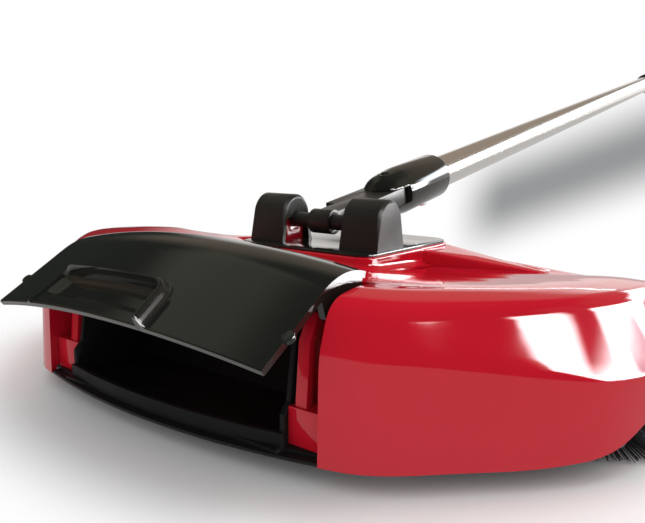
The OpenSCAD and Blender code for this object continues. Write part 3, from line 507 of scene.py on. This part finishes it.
def plinth_outline(grow, count=144):
    """The outline round the four corner discs, grown outwards."""
    points = []
    for k in range(count):
        angle = 2 * math.pi * (k + 0.5) / count
        way = np.array((math.cos(angle), math.sin(angle)))
        best = max(((side * x, y, r + grow) for x, y, r in plinth_corners for side in (-1, 1)),
                   key=lambda c: c[0] * way[0] + c[1] * way[1] + c[2])
        points.append((best[0] + best[2] * way[0], best[1] + best[2] * way[1]))
    return points


def deck_below(x, y):
    return ground.ray_cast(Vector((x, y, 100)) * mm, Vector((0, 0, -1)))[0].z / mm


foot, lip = 3.6, 0.9
rings = [[(x, y, deck_below(x, y) - 1.2) for x, y in plinth_outline(foot)]]
for k in range(9):
    angle = math.pi / 2 * k / 8
    grow = foot * (1 - math.sin(angle))
    rise = foot * 0.8 * (1 - math.cos(angle))
    rings.append([(x, y, min(deck_below(x, y) - 0.15 + rise, plinth_top - lip))
                  for x, y in plinth_outline(grow)])
for k in range(5):
    angle = math.pi / 2 * k / 4
    rings.append([(x, y, plinth_top - lip * (1 - math.sin(angle)))
                  for x, y in plinth_outline(-lip * (1 - math.cos(angle)))])
plinth = loft("plinth", [[Vector(p) * mm for p in ring] for ring in rings])
hollow = prism("plinth_hollow", metres(plinth_outline(-cover_wall)), 0.0, (plinth_top - cover_wall) * mm)
print("plinth top at", round(plinth_top, 1), "mm")

# %% [markdown]
# ### The brow, the bin's walls and the screw bosses
#
# At the brushes' end a low brow runs out from the plinth to each side. It is a hull over a few small discs
# with rounded tops. Inside, a wall closes each pod towards the dust bin, and six bosses hold the screws. A
# boss must not poke through the deck, so its top stays a little under the lowest point of the skin above it.

# %% The brow
brow_discs = ((42, 26, 4.5), (64, 38, 7), (97, 43, 12), (42, 52, 5), (72, 52, 10))
brow_round, brow_depth = ((0.4, 0), (1.2, 0.25), (1.8, 0.8), (2.0, 1.6)), 17
brows = []
for side in (-1, 1):
    points = []
    for x, y, drop in brow_discs:
        for radius, down in (*brow_round, (2.0, brow_depth - drop)):
            level = height - drop - down
            points += [(side * a * mm, b * mm, level * mm) for a, b in circle(x, y, radius, 24)]
    brows.append(hull("brow", points))
print("brow:", len(brows), "sides over", len(brow_discs), "discs each")

# %% The walls of the bin and the screw bosses
wall_foot, pod_wall_end = 10.5, -66.4
pod_wall = ((corner + 1.4, wall_foot), (corner + 1.9, height - 18), (corner + 6.4, height - 6),
            (corner + 17.4, height - 2), (pod_wall_end, height - 3), (pod_wall_end, wall_foot))
bosses = ((open_half + 12, -78.4), (50, front - 18), (half_width - 29, -30))
boss_radius, boss_skin = 4, 1
walls = []
for side in (-1, 1):
    ends = on_side(side, open_half * mm, (open_half + cover_wall) * mm)
    walls.append(prism("pod_wall", metres(pod_wall), *ends, axis="X"))
    for x, y in bosses:
        rim = circle(side * x, y, boss_radius)
        top = min(deck_below(a, b) for a, b in rim) - boss_skin
        walls.append(prism("boss", metres(rim), wall_foot * mm, top * mm))
print("walls and bosses:", len(walls))

# %% [markdown]
# ### Joining and cutting the cover
#
# The blocks are joined to the skin in one go. Then the plinth is hollowed, the dust bin's mouth is cut along
# the bow of its edge, and a slot on each side lets the door's arm swing.

# %% Joining and cutting
joints = {joint["name"]: joint for joint in frame["record"]["behaviour"]["joints"]}
hinge = Vector(joints["door_hinge"]["pos_m"])
mouth_edge = bow_radius - 16.6
mouth = [(-open_half, -rear - 20), (open_half, -rear - 20)]
mouth += [(x, bow_line(x, mouth_edge)) for x in np.linspace(open_half, -open_half, 49)]
cut_low, cut_high = -0.01, 0.1
cutters = [hollow, prism("mouth", metres(mouth), cut_low, cut_high)]
slot_in, slot_start, slot_end = (open_half - 7.7) * mm, -0.2, hinge.y + 0.0135
for side in (-1, 1):
    low, high = on_side(side, slot_in, open_half * mm)
    outline = [(low, slot_start), (high, slot_start), (high, slot_end), (low, slot_end)]
    cutters.append(prism("slot", outline, cut_low, cut_high))
combine(cover, "UNION", plinth, *brows, *walls)
combine(cover, "DIFFERENCE", *cutters)
smooth(cover.data, 26)
settle(cover, "housing", "red_gloss", "top_cover")
print("red cover:", len(cover.data.polygons), "faces")

# %% [markdown]
# ## The door posts
#
# Each door post is a slim pillar on a broad foot, with a web behind it that carries the eye of the hinge pin.
# All four are plain outlines pushed along X and joined, and the pin's bore is cut last, so that it goes
# through everything in its way.

# %% The door posts
def rod(name, y, z, radius, low, high):
    """A round bar along X; its measures are in millimetres."""
    return prism(name, metres(circle(y, z, radius)), low * mm, high * mm, axis="X")


hinge_y, hinge_z = hinge.y / mm, hinge.z / mm
pin_radius, bore_radius, eye_radius = 2, 2.06, 5
post_front, post_foot = corner + 3.7, gap + 2.5
pillar = ((post_front, post_foot), (post_front + 3, hinge_z - 5), (post_front + 7.8, hinge_z + 4),
          (post_front + 9.8, hinge_z + 1), (post_front + 6.3, hinge_z - 5), (post_front + 3, post_foot))
web = ((post_front + 2, post_foot), (post_front + 5, hinge_z - 5), (post_front + 7.8, hinge_z + 3),
       (hinge_y + 4, hinge_z + 4), (hinge_y + 8, post_foot))
foot_block = ((post_front, post_foot), (post_front + 7.2, post_foot), (post_front + 7.2, post_foot + 13),
              (post_front, post_foot + 13))
inside, outside = open_half - 14.7, open_half - 0.3
post_blocks = ((foot_block, inside, outside), (pillar, inside + 2, inside + 6.5),
               (web, inside + 2.2, inside + 4.5))
for side, node in ((-1, "door_post_left"), (1, "door_post_right")):
    blocks = [prism("post_part", metres(outline), *on_side(side, low * mm, high * mm), axis="X")
              for outline, low, high in post_blocks]
    blocks.append(rod("eye", hinge_y, hinge_z, eye_radius, *on_side(side, inside + 2, outside - 5.4)))
    post = combine(blocks[0], "UNION", *blocks[1:])
    combine(post, "DIFFERENCE", rod("bore", hinge_y, hinge_z, bore_radius, -90, 90))
    soften(post, node, 0.0005)
    print(node, len(post.data.polygons), "faces")

# %% [markdown]
# ## The pivot caps
#
# Each pivot cap is the measured hood, closed towards the yoke by a half-round face above the crossbar. The
# face is a short loft, narrower at its inner end, and notched where the crossbar passes. A wide bevel then
# rounds the whole cap.

# %% The pivot caps
cap_radius = 10.4
for side, node in ((-1, "pivot_cap_left"), (1, "pivot_cap_right")):
    low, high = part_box(node)
    inner = (low.x if side == 1 else -high.x) / mm
    middle, round_z = (low.y + high.y) / 2 / mm, high.z / mm - cap_radius
    rings = []
    for x, inset in ((inner + 0.02, 1.5), (inner + 1.35, 0.15), (inner + 2.2, 0.15)):
        radius = cap_radius - inset
        outline = [(middle - radius, round_z - 1.3), (middle + radius, round_z - 1.3)]
        outline += [(middle + radius * math.cos(angle), round_z + radius * math.sin(angle))
                    for angle in np.linspace(0, math.pi, 33)]
        rings.append([Vector((side * x, y, z)) * mm for y, z in outline])
    face = loft("cap_face", rings)
    combine(face, "DIFFERENCE", rod("notch", middle, round_z - 2.1, 4.2, -60, 60))
    cap = combine(healed(node), "UNION", face)
    soften(cap, node, 0.0011, segments=3)
    print(node, len(cap.data.polygons), "faces")

# %% [markdown]
# ## The dust door
#
# The dust door is a bent panel with a pull for the fingertips: a rim that stands proud of the panel, cheeks
# that slope up to it, and a hollow behind. In a mould all of that is one surface, so it is modelled as one:
# the panel is a sheet of fine squares, and at each place a height says how far the skin stands out from the
# panel's own curve. Smooth steps give every edge its small round.

# %% The panel's skin
door_half, door_thick, door_foot = 69.7, 2.4, gap + 2.7
door_lean, roll_radius, roll_end = math.radians(84), 30.0, math.radians(36)
roll_z = height - 17.2
roll_x = bow_radius - (roll_z - door_foot) / math.tan(door_lean)
flat_run = (roll_z - door_foot) / math.sin(door_lean)
pull_middle, pull_half, pull_top, pull_rise, pull_wall = -10.5, 33.0, 20.5, 4.5, 3.4


def step_up(value, low, high):
    t = min(max((value - low) / (high - low), 0.0), 1.0)
    return t * t * (3 - 2 * t)


def panel_place(s):
    """Distance from the bow's centre, level and lean of the door's curve, s along it from its free edge."""
    if s < flat_run:
        return (bow_radius - s * math.cos(door_lean), door_foot + s * math.sin(door_lean), door_lean)
    lean = door_lean - (s - flat_run) / roll_radius
    return (roll_x - roll_radius * (math.sin(door_lean) - math.sin(lean)),
            roll_z + roll_radius * (math.cos(lean) - math.cos(door_lean)), lean)


def rounded_box(x, s, half, top, radius):
    """Signed distance to the pull's outline, which is open at the free edge."""
    dx, ds = abs(x - pull_middle) - (half - radius), s - (top - radius)
    return min(max(dx, ds), 0.0) + math.hypot(max(dx, 0.0), max(ds, 0.0)) - radius


def pull_height(x, s):
    """How far the pull's rim stands out or its hollow goes in; both fade in from the left end."""
    rim = pull_rise * step_up(-rounded_box(x, s, pull_half, pull_top, 7), -0.2, 2.8)
    sunk = step_up(-rounded_box(x, s, pull_half - pull_wall, pull_top - pull_wall, 4), 0.0, 0.55)
    from_left = x - (pull_middle - pull_half)
    from_right = 2 * pull_half - 4.6 - from_left
    scoop = 2.1 * step_up(1 - ((s - 11) / 6.5) ** 2, 0.0, 0.8) * step_up(from_right, 0, 3)
    scoop *= step_up(from_left, 3, 12)
    return rim * step_up(from_left, 0, 12) * (1 - sunk) - scoop * sunk


def door_skin(height_of):
    """Rows of points over the door, closest at the pull, lifted off its curve by height_of(x, s)."""
    run = flat_run + roll_radius * (door_lean - roll_end)
    up = np.concatenate((np.linspace(0, 0.5, 3), np.linspace(0.9, 26, 56), np.linspace(27.5, run, 24)))
    across = np.concatenate((np.linspace(-door_half, -49, 12), np.linspace(-48, 27, 150),
                             np.linspace(28, door_half, 22)))
    rows = []
    for s in up:
        radius, level, lean = panel_place(s)
        row = []
        for x in across:
            lift = height_of(x, s)
            lift -= 0.35 * (1 - step_up(s, 0.0, 0.6)) if lift > -1 else 0.0
            flare = (1 - step_up(abs(x - pull_middle), 38, 50)) * max(1 - s / pull_top, 0) * 2.5 / pull_half
            turn = math.asin((x + (x - pull_middle) * flare) / radius)
            reach = radius + lift * math.sin(lean)
            row.append((reach * math.sin(turn) if abs(x) < door_half - 0.01 else x,
                        bow_centre - reach * math.cos(turn), max(level + lift * math.cos(lean), door_foot)))
        rows.append(row)
    return rows


front_rows = door_skin(pull_height)
back_rows = door_skin(lambda x, s: -door_thick)
n_rows, n_cols = len(front_rows), len(front_rows[0])
sheet = n_rows * n_cols
faces = []
for r in range(n_rows - 1):
    for c in range(n_cols - 1):
        quad = (r * n_cols + c, r * n_cols + c + 1, (r + 1) * n_cols + c + 1, (r + 1) * n_cols + c)
        faces += [quad, tuple(v + sheet for v in quad[::-1])]
edge = list(range(n_cols)) + [r * n_cols + n_cols - 1 for r in range(1, n_rows)]
edge += [sheet - n_cols + c for c in range(n_cols - 2, -1, -1)]
edge += [r * n_cols for r in range(n_rows - 2, 0, -1)]
for a, b in zip(edge, edge[1:] + edge[:1]):
    faces.append((a, b, b + sheet, a + sheet))
door = solid("door_panel", [Vector(p) * mm for row in front_rows + back_rows for p in row], faces)
print("door skin:", n_rows, "by", n_cols)

# %% [markdown]
# ### The door's arms, pins and nubs
#
# An arm at each end of the panel reaches back to the hinge and holds the pin in its eye, and a small round
# nub near the foot snaps the door shut. They are joined to the panel while it is drawn shut, and the whole
# door is then swung open about its pins like the real one.

# %% Arms, pins and nubs
arm = ((corner + 4.6, height - 20), (corner + 7.4, height - 8), (corner + 10.9, height - 2),
       (corner + 15.4, height + 2.2), (hinge_y + 4.5, hinge_z + 1), (hinge_y, hinge_z - 4.5),
       (corner + 11.4, height - 22))
parts = []
for side in (-1, 1):
    low, high = on_side(side, door_half - door_thick, door_half)
    plate = prism("arm", metres(arm), low * mm, high * mm, axis="X")
    combine(plate, "UNION", rod("eye", hinge_y, hinge_z, eye_radius, low, high))
    combine(plate, "DIFFERENCE", rod("notch", corner + 19.4, height + 3, 4, low - 1, high + 1))
    pin = on_side(side, door_half - 8.7, door_half - 2.3)
    nub = [[(side * door_half + a, corner + 2 - w, door_foot + 14 + b)
            for a, b in circle(0, 0, max(2.2 - cut, 0.05), 28)]
           for w, cut in ((0, 0), (1.2, 0), (1.5, 0.15), (1.6, 0.45))]
    parts += [plate, rod("pin", hinge_y, hinge_z, pin_radius, *pin),
              loft("nub", [[Vector(p) * mm for p in ring] for ring in nub])]
combine(door, "UNION", *parts)
opened = math.radians(-joints["door_hinge"]["range_deg"][1])
swung = Matrix.Translation(hinge) @ Matrix.Rotation(opened, 4, "X")
door.data.transform(swung @ Matrix.Translation(-hinge))
smooth(door.data, 30)
settle(door, "door", "black_gloss", "dust_door")
print("dust door:", len(door.data.polygons), "faces")

# %% [markdown]
# ## Repeated pieces with Geometry Nodes
#
# Bristles, screws and drawn tubes are one small shape repeated, or one outline run along a path. That is
# what Geometry Nodes are for. Each tree below is built with named inputs, gets its values on the modifier,
# and ends in Realize Instances and Set Material. The result is then kept as a plain mesh on its body.

# %% A helper for Geometry Nodes
def grown(name, material, values, build, points=((0, 0, 0),)):
    """A piece that the tree built by build(tree, given) grows from some points."""
    tree = bpy.data.node_groups.new(name, "GeometryNodeTree")
    tree.interface.new_socket("Geometry", in_out="OUTPUT", socket_type="NodeSocketGeometry")
    tree.interface.new_socket("Geometry", in_out="INPUT", socket_type="NodeSocketGeometry")
    kinds = {int: "NodeSocketInt", float: "NodeSocketFloat", tuple: "NodeSocketVector",
             bpy.types.Object: "NodeSocketObject"}
    named = {key: tree.interface.new_socket(key, in_out="INPUT", socket_type=kinds[type(value)])
             for key, value in values.items()}
    shape = build(tree, put(tree, "NodeGroupInput").outputs)
    shape = put(tree, "GeometryNodeRealizeInstances", Geometry=shape).outputs[0]
    shape = put(tree, "GeometryNodeSetMaterial", Geometry=shape, Material=material).outputs[0]
    put(tree, "NodeGroupOutput", Geometry=shape)
    mesh = bpy.data.meshes.new(name)
    mesh.from_pydata([tuple(p) for p in points], [], [])
    piece = bpy.data.objects.new(name, mesh)
    scene.collection.objects.link(piece)
    growth = piece.modifiers.new("growth", "NODES")
    growth.node_group = tree
    for key, socket in named.items():
        growth[socket.identifier] = values[key]
    plain_mesh(piece)
    return piece


def vary(tree, low, high, seed):
    """A value that differs from one copy to the next, and is the same on every run."""
    kind = {"data_type": "FLOAT"}
    return put(tree, "FunctionNodeRandomValue", kind, n2=low, n3=high, Seed=seed).outputs[1]


# %% [markdown]
# ### The corner brushes
#
# The two corner brushes are rings of stiff bristles that reach out past the fenders and dip to the floor,
# each at its own slope. One thin cone is laid down and set on every point of a circle, turned outwards.

# %% The corner brushes
def brush_ring(tree, given):
    ring = put(tree, "GeometryNodeMeshCircle", Vertices=given["Bristles"],
               Radius=given["Root"]).outputs["Mesh"]
    hair = put(tree, "GeometryNodeMeshCone", Vertices=5, Radius_Top=0.00014, Radius_Bottom=0.0004,
               Depth=given["Length"]).outputs["Mesh"]
    lying = put(tree, "GeometryNodeTransform", Geometry=hair, Rotation=(0, math.pi / 2, 0)).outputs[0]
    step = math_node(tree, "DIVIDE", 2 * math.pi, given["Bristles"])
    angle = math_node(tree, "MULTIPLY", put(tree, "GeometryNodeInputIndex").outputs[0], step)
    turn = put(tree, "ShaderNodeCombineXYZ", Y=vary(tree, 0.065, 0.155, 3),
               Z=math_node(tree, "ADD", angle, vary(tree, -0.05, 0.05, 5))).outputs[0]
    size = put(tree, "ShaderNodeCombineXYZ", X=vary(tree, 0.96, 1.0, 7), Y=1.0, Z=1.0).outputs[0]
    hairs = put(tree, "GeometryNodeInstanceOnPoints", Points=ring, Instance=lying, Rotation=turn,
                Scale=size).outputs[0]
    return put(tree, "GeometryNodeTransform", Geometry=hairs, Translation=given["Place"]).outputs[0]


for side in ("left", "right"):
    low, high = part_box("corner_bristles_" + side)
    middle, reach = (low + high) / 2, (high.x - low.x) / 2
    sizes = {"Bristles": 800, "Root": 0.0195, "Length": reach - 0.0197,
             "Place": (middle.x, middle.y, 0.0052)}
    made = grown("brush_ring_" + side, bristle, sizes, brush_ring)
    smooth(made.data, 50)
    settle(made, body_of["corner_bristles_" + side], "bristle", "corner_bristles_" + side)
    print(made.name, len(made.data.polygons), "faces")


# %% [markdown]
# ### The roller brush
#
# The roller has six rows of tufts that wind round its core. A line has one point for each tuft. Its number
# says which row it is in and how far along, and from those two follow its place and its turn.

# %% The roller brush
def tuft_rows(tree, given):
    count = math_node(tree, "MULTIPLY", given["Rows"], given["Tufts"])
    line = put(tree, "GeometryNodeMeshLine", Count=count).outputs[0]
    index = put(tree, "GeometryNodeInputIndex").outputs[0]
    halfway = math_node(tree, "ADD", index, 0.5)
    row = math_node(tree, "FLOOR", math_node(tree, "DIVIDE", halfway, given["Tufts"]))
    place = math_node(tree, "SUBTRACT", index, math_node(tree, "MULTIPLY", row, given["Tufts"]))
    steps = math_node(tree, "SUBTRACT", given["Tufts"], 1.0)
    along = math_node(tree, "SUBTRACT", math_node(tree, "DIVIDE", place, steps), 0.5)
    between_rows = math_node(tree, "DIVIDE", 2 * math.pi, given["Rows"])
    angle = math_node(tree, "ADD", math_node(tree, "MULTIPLY", along, given["Twist"]),
                      math_node(tree, "MULTIPLY", row, between_rows))
    root = put(tree, "ShaderNodeCombineXYZ", X=math_node(tree, "MULTIPLY", along, given["Span"])).outputs[0]
    points = put(tree, "GeometryNodeSetPosition", Geometry=line, Position=root).outputs[0]
    height_of_tuft = math_node(tree, "SUBTRACT", given["Tip"], given["Root"])
    tuft = put(tree, "GeometryNodeMeshCone", Vertices=8, Radius_Top=0.0011, Radius_Bottom=0.0008,
               Depth=height_of_tuft).outputs["Mesh"]
    out = put(tree, "ShaderNodeCombineXYZ", Z=given["Root"]).outputs[0]
    raised = put(tree, "GeometryNodeTransform", Geometry=tuft, Translation=out).outputs[0]
    leaning = math_node(tree, "ADD", angle, vary(tree, -0.03, 0.03, 11))
    turn = put(tree, "ShaderNodeCombineXYZ", X=leaning).outputs[0]
    tufts = put(tree, "GeometryNodeInstanceOnPoints", Points=points, Instance=raised,
                Rotation=turn).outputs[0]
    return put(tree, "GeometryNodeTransform", Geometry=tufts, Translation=given["Place"]).outputs[0]


low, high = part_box("roller_bristles")
middle = (low + high) / 2
sizes = {"Rows": 6, "Tufts": 62, "Twist": math.radians(150), "Span": high.x - low.x - 0.0024,
         "Root": 0.0088, "Tip": (high.z - low.z) / 2 - 0.0001, "Place": tuple(middle)}
rows_of_tufts = grown("roller_tufts", bristle, sizes, tuft_rows)
smooth(rows_of_tufts.data, 50)
settle(rows_of_tufts, "roller", "bristle", "roller_bristles")
print(rows_of_tufts.name, len(rows_of_tufts.data.polygons), "faces")

# %% [markdown]
# ### The screws
#
# The steel screws all have a pan head with a cross recess. One screw is modelled for each of the two sizes,
# and a tree sets a copy on each place where the measured model has one.

# %% The screws
def pan_screw(name, head, head_height, shank, length):
    """A screw that stands on its head; head is a diameter and shank a radius."""
    turned = ((head * 0.42, 0.0), (head * 0.48, 0.0002), (head * 0.5, 0.0006), (head * 0.5, head_height),
              (shank, head_height), (shank, length - 0.0008), (shank * 0.5, length))
    body = loft(name, [[(x, y, level) for x, y in circle(0, 0, radius, 20)] for radius, level in turned])
    wide, narrow = head * 0.27, head * 0.055
    for a, b in ((wide, narrow), (narrow, wide)):
        bar = [(-a, -b), (a, -b), (a, b), (-a, b)]
        combine(body, "DIFFERENCE", prism("recess", bar, -0.001, head_height * 0.55))
    return body


def set_screws(tree, given):
    one = put(tree, "GeometryNodeObjectInfo", Object=given["Screw"], As_Instance=True).outputs["Geometry"]
    spin = put(tree, "ShaderNodeCombineXYZ", Z=vary(tree, 0.0, 3.0, 13)).outputs[0]
    return put(tree, "GeometryNodeInstanceOnPoints", Points=given["Geometry"], Instance=one,
               Rotation=spin).outputs[0]


cover_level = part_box("cover_screws")[0].z
cover_places = [(side * x * mm, y * mm, cover_level) for side in (-1, 1) for x, y in bosses]
low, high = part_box("saddle_screws")
saddle_x, saddle_y = high.x - 0.0028, (low.y + high.y) / 2
saddle_places = [(side * saddle_x, saddle_y + apart, low.z) for side in (-1, 1) for apart in (-0.004, 0.004)]
screw_sets = {"cover_screws": (pan_screw("cover_screw", 0.0059, 0.0016, 0.00148, 0.0138), cover_places),
              "saddle_screws": (pan_screw("saddle_screw", 0.0055, 0.0018, 0.00148, 0.0073), saddle_places)}
for node, (pattern, places) in screw_sets.items():
    made = grown(node + "_set", zinc, {"Screw": pattern}, set_screws, places)
    bpy.data.objects.remove(pattern)
    smooth(made.data, 40)
    settle(made, "housing", "steel", node)
    print(made.name, len(made.data.polygons), "faces")

# %% [markdown]
# ### The tubes
#
# The handle's two tubes are an outline run along a straight path, on the line that leaves the tilt's pivot
# square to the swivel's axis. Their bright, lengthwise polish is in the material; the shape only has to be
# truly round.

# %% The tubes
def drawn_tube(tree, given):
    path = put(tree, "GeometryNodeCurvePrimitiveLine", Start=given["From"], End=given["To"]).outputs[0]
    outline = put(tree, "GeometryNodeCurvePrimitiveCircle", Resolution=72,
                  Radius=given["Radius"]).outputs[0]
    return put(tree, "GeometryNodeCurveToMesh", Curve=path, Profile_Curve=outline,
               Fill_Caps=True).outputs[0]


pivot = Vector(joints["handle_tilt"]["pos_m"])
rise = math.radians(9.2)
for node in ("lower_tube", "upper_tube"):
    low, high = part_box(node)
    radius = (high.x - low.x) / 2
    ends = [(low.y - pivot.y + radius * math.sin(rise)) / math.cos(rise),
            (high.y - pivot.y - radius * math.sin(rise)) / math.cos(rise)]
    path = [(0.0, pivot.y + s * math.cos(rise), pivot.z + s * math.sin(rise)) for s in ends]
    sizes = {"From": path[0], "To": path[1], "Radius": radius - 0.00002}
    made = grown(node + "_drawn", polished, sizes, drawn_tube)
    smooth(made.data, 40)
    settle(made, "handle", "polished_tube", node)
    print(made.name, [round(v, 4) for v in made.dimensions])

# %% [markdown]
# ## The studio
#
# The sweeper stands on a pale paper floor, in a white surround, under one soft lamp.
#
# Near the head the paper takes the sweeper's soft shadow, and a step away it fades into the surround, so no
# horizon shows. The fade follows the distance from the head in an oval, and only the camera's rays see it.
# Reflections see the floor as an even, slightly warm grey.

# %% The floor
bpy.ops.mesh.primitive_plane_add(size=14)
floor = bpy.context.object
floor.name = "studio_floor"
paper = bpy.data.materials.new("white_paper")
paper.use_nodes = True
tree = paper.node_tree
tree.nodes.clear()
rays = put(tree, "ShaderNodeLightPath").outputs
place = put(tree, "ShaderNodeMapping", Vector=put(tree, "ShaderNodeTexCoord").outputs["Object"],
            Location=(0, 0.09, 0), Scale=(6.25, 8.7, 1)).outputs[0]
away = put(tree, "ShaderNodeVectorMath", {"operation": "LENGTH"}, n0=place).outputs["Value"]
near = put(tree, "ShaderNodeMapRange", {"interpolation_type": "SMOOTHSTEP"}, Value=away, From_Min=1.0,
           From_Max=1.42, To_Min=1.0, To_Max=0.0).outputs[0]
lit = put(tree, "ShaderNodeBsdfDiffuse", Color=(0.9, 0.9, 0.9, 1)).outputs[0]
clear = put(tree, "ShaderNodeBsdfTransparent").outputs[0]
fading = put(tree, "ShaderNodeMixShader", n0=near, n1=clear, n2=lit).outputs[0]
ground_seen = put(tree, "ShaderNodeMixShader", n0=rays["Is Camera Ray"], n1=lit, n2=fading).outputs[0]
mirrored = put(tree, "ShaderNodeEmission", Color=(1, 0.98, 0.97, 1), Strength=0.55).outputs[0]
surface = put(tree, "ShaderNodeMixShader", n0=rays["Is Glossy Ray"], n1=ground_seen, n2=mirrored)
put(tree, "ShaderNodeOutputMaterial", Surface=surface.outputs[0])
floor.data.materials.append(paper)
print("floor:", [round(v, 1) for v in floor.dimensions])

# %% [markdown]
# ### The surround
#
# Gloss plastic looks like whatever it mirrors, so the surround that reflections see is a room and not a
# blank: bright low down in front of the brushes, brown above that, dark overhead and behind, and one tall
# window to the right of the sweeper. The camera itself sees plain white, with one soft grey patch of painted
# shade where a wall would take the handle's shade, though nothing casts it there. Azimuths are counted from
# +Y towards +X and elevations from level, in degrees. Every region has soft edges, so a helper for a
# soft-edged span comes first.

# %% A helper for soft-edged spans
def span(tree, value, low, high, soft):
    """1 between low and high, 0 outside, with soft edges."""
    shape = {"interpolation_type": "SMOOTHSTEP"}
    step = put(tree, "ShaderNodeMapRange", shape, Value=value, From_Min=low - soft,
               From_Max=low + soft).outputs[0]
    fall = put(tree, "ShaderNodeMapRange", shape, Value=value, From_Min=high - soft, From_Max=high + soft,
               To_Min=1.0, To_Max=0.0).outputs[0]
    return math_node(tree, "MULTIPLY", step, fall)


# %% The surround
world = bpy.data.worlds.new("surround")
scene.world = world
world.use_nodes = True
tree = world.node_tree
tree.nodes.clear()
rays = put(tree, "ShaderNodeLightPath").outputs
way = put(tree, "ShaderNodeSeparateXYZ", n0=put(tree, "ShaderNodeTexCoord").outputs["Generated"]).outputs
azimuth = math_node(tree, "MULTIPLY", math_node(tree, "ARCTAN2", way[0], way[1]), 180 / math.pi)
elevation = math_node(tree, "MULTIPLY", math_node(tree, "ARCSINE", way[2]), 180 / math.pi)


def patch(azimuths, elevations, soft, slant=0.0, tilt=0.0):
    """A region of the surround; slant leans its upright edges and tilt its level ones."""
    across = math_node(tree, "SUBTRACT", azimuth, math_node(tree, "MULTIPLY", elevation, slant))
    up = math_node(tree, "SUBTRACT", elevation, math_node(tree, "MULTIPLY", azimuth, tilt))
    sideways = span(tree, across, *azimuths, soft)
    return math_node(tree, "MULTIPLY", sideways, span(tree, up, *elevations, soft))


def layer(under, region, colour, strength):
    glow = put(tree, "ShaderNodeBackground", Color=(*colour, 1), Strength=strength).outputs[0]
    return put(tree, "ShaderNodeMixShader", n0=region, n1=under, n2=glow).outputs[0]


room = put(tree, "ShaderNodeBackground", Color=(0.9, 1, 0.9, 1), Strength=0.03).outputs[0]
room = layer(room, patch((-150, -95), (5, 40), 12), (1, 0.72, 0.52), 0.22)  # brown, behind on the left
room = layer(room, patch((-125, -58), (42, 68), 6), (1, 0.97, 0.82), 0.3)  # pale, high on the left
room = layer(room, patch((-60, 70), (18, 46), 8), (1, 0.82, 0.66), 0.32)  # brown, ahead
room = layer(room, patch((-46, 70), (-90, 18), 5), (1, 0.96, 0.93), 1.0)  # bright, low down ahead
room = layer(room, patch((2, 32), (9, 21), 3), (0.86, 0.94, 1), 11.0)  # a cool glare ahead
window = math_node(tree, "MULTIPLY", patch((-90, 82.5), (2, 90), 0.8, slant=1.07),
                   patch((30, 109.3), (-40, 6.5), 0.8, tilt=0.27))
room = layer(room, window, (1, 0.98, 0.99), 24.0)
room = layer(room, patch((66, 84), (15, 48), 3.0, slant=0.3), (1, 0.5, 0.6), 0.4)  # red, within the window
room = layer(room, patch((44, 62), (6, 13), 2.5), (0.75, 0.9, 1), 5.0)  # a cool glare ahead on the right
even = put(tree, "ShaderNodeBackground", Color=(1, 1, 1, 1), Strength=0.85).outputs[0]
white = put(tree, "ShaderNodeBackground", Color=(1, 1, 1, 1), Strength=1.0).outputs[0]
# painted shade: a soft grey patch beside the handle that only the camera sees, where nothing casts a shadow
painted_shade = math_node(tree, "MULTIPLY", patch((-23, -5), (1.4, 6.9), 2.6, tilt=0.415), 0.85)
white = layer(white, painted_shade, (0.95, 0.97, 1), 0.2)
seen = put(tree, "ShaderNodeMixShader", n0=rays["Is Glossy Ray"], n1=even, n2=room).outputs[0]
seen = put(tree, "ShaderNodeMixShader", n0=rays["Is Camera Ray"], n1=seen, n2=white).outputs[0]
put(tree, "ShaderNodeOutputWorld", Surface=seen)
print("surround:", len(tree.nodes), "nodes")

# %% [markdown]
# ### The lamp
#
# One large lamp, high up beyond the brushes, lights the deck evenly and gives the shadow its direction. It is
# kept out of reflections, which belong to the surround. The Standard view transform keeps the red as red.

# %% The lamp
lamp = bpy.data.objects.new("overhead", bpy.data.lights.new("overhead", "AREA"))
lamp.data.shape, lamp.data.size, lamp.data.size_y, lamp.data.energy = "RECTANGLE", 0.9, 0.9, 9
lamp.location = (0.35, 0.75, 1.3)
lamp.rotation_euler = (Vector((0, 0, 0.05)) - lamp.location).to_track_quat("-Z", "Y").to_euler()
lamp.visible_glossy = False
scene.collection.objects.link(lamp)
scene.view_settings.view_transform = "Standard"
print("lamp:", lamp.data.energy, "W at", tuple(round(v, 2) for v in lamp.location))
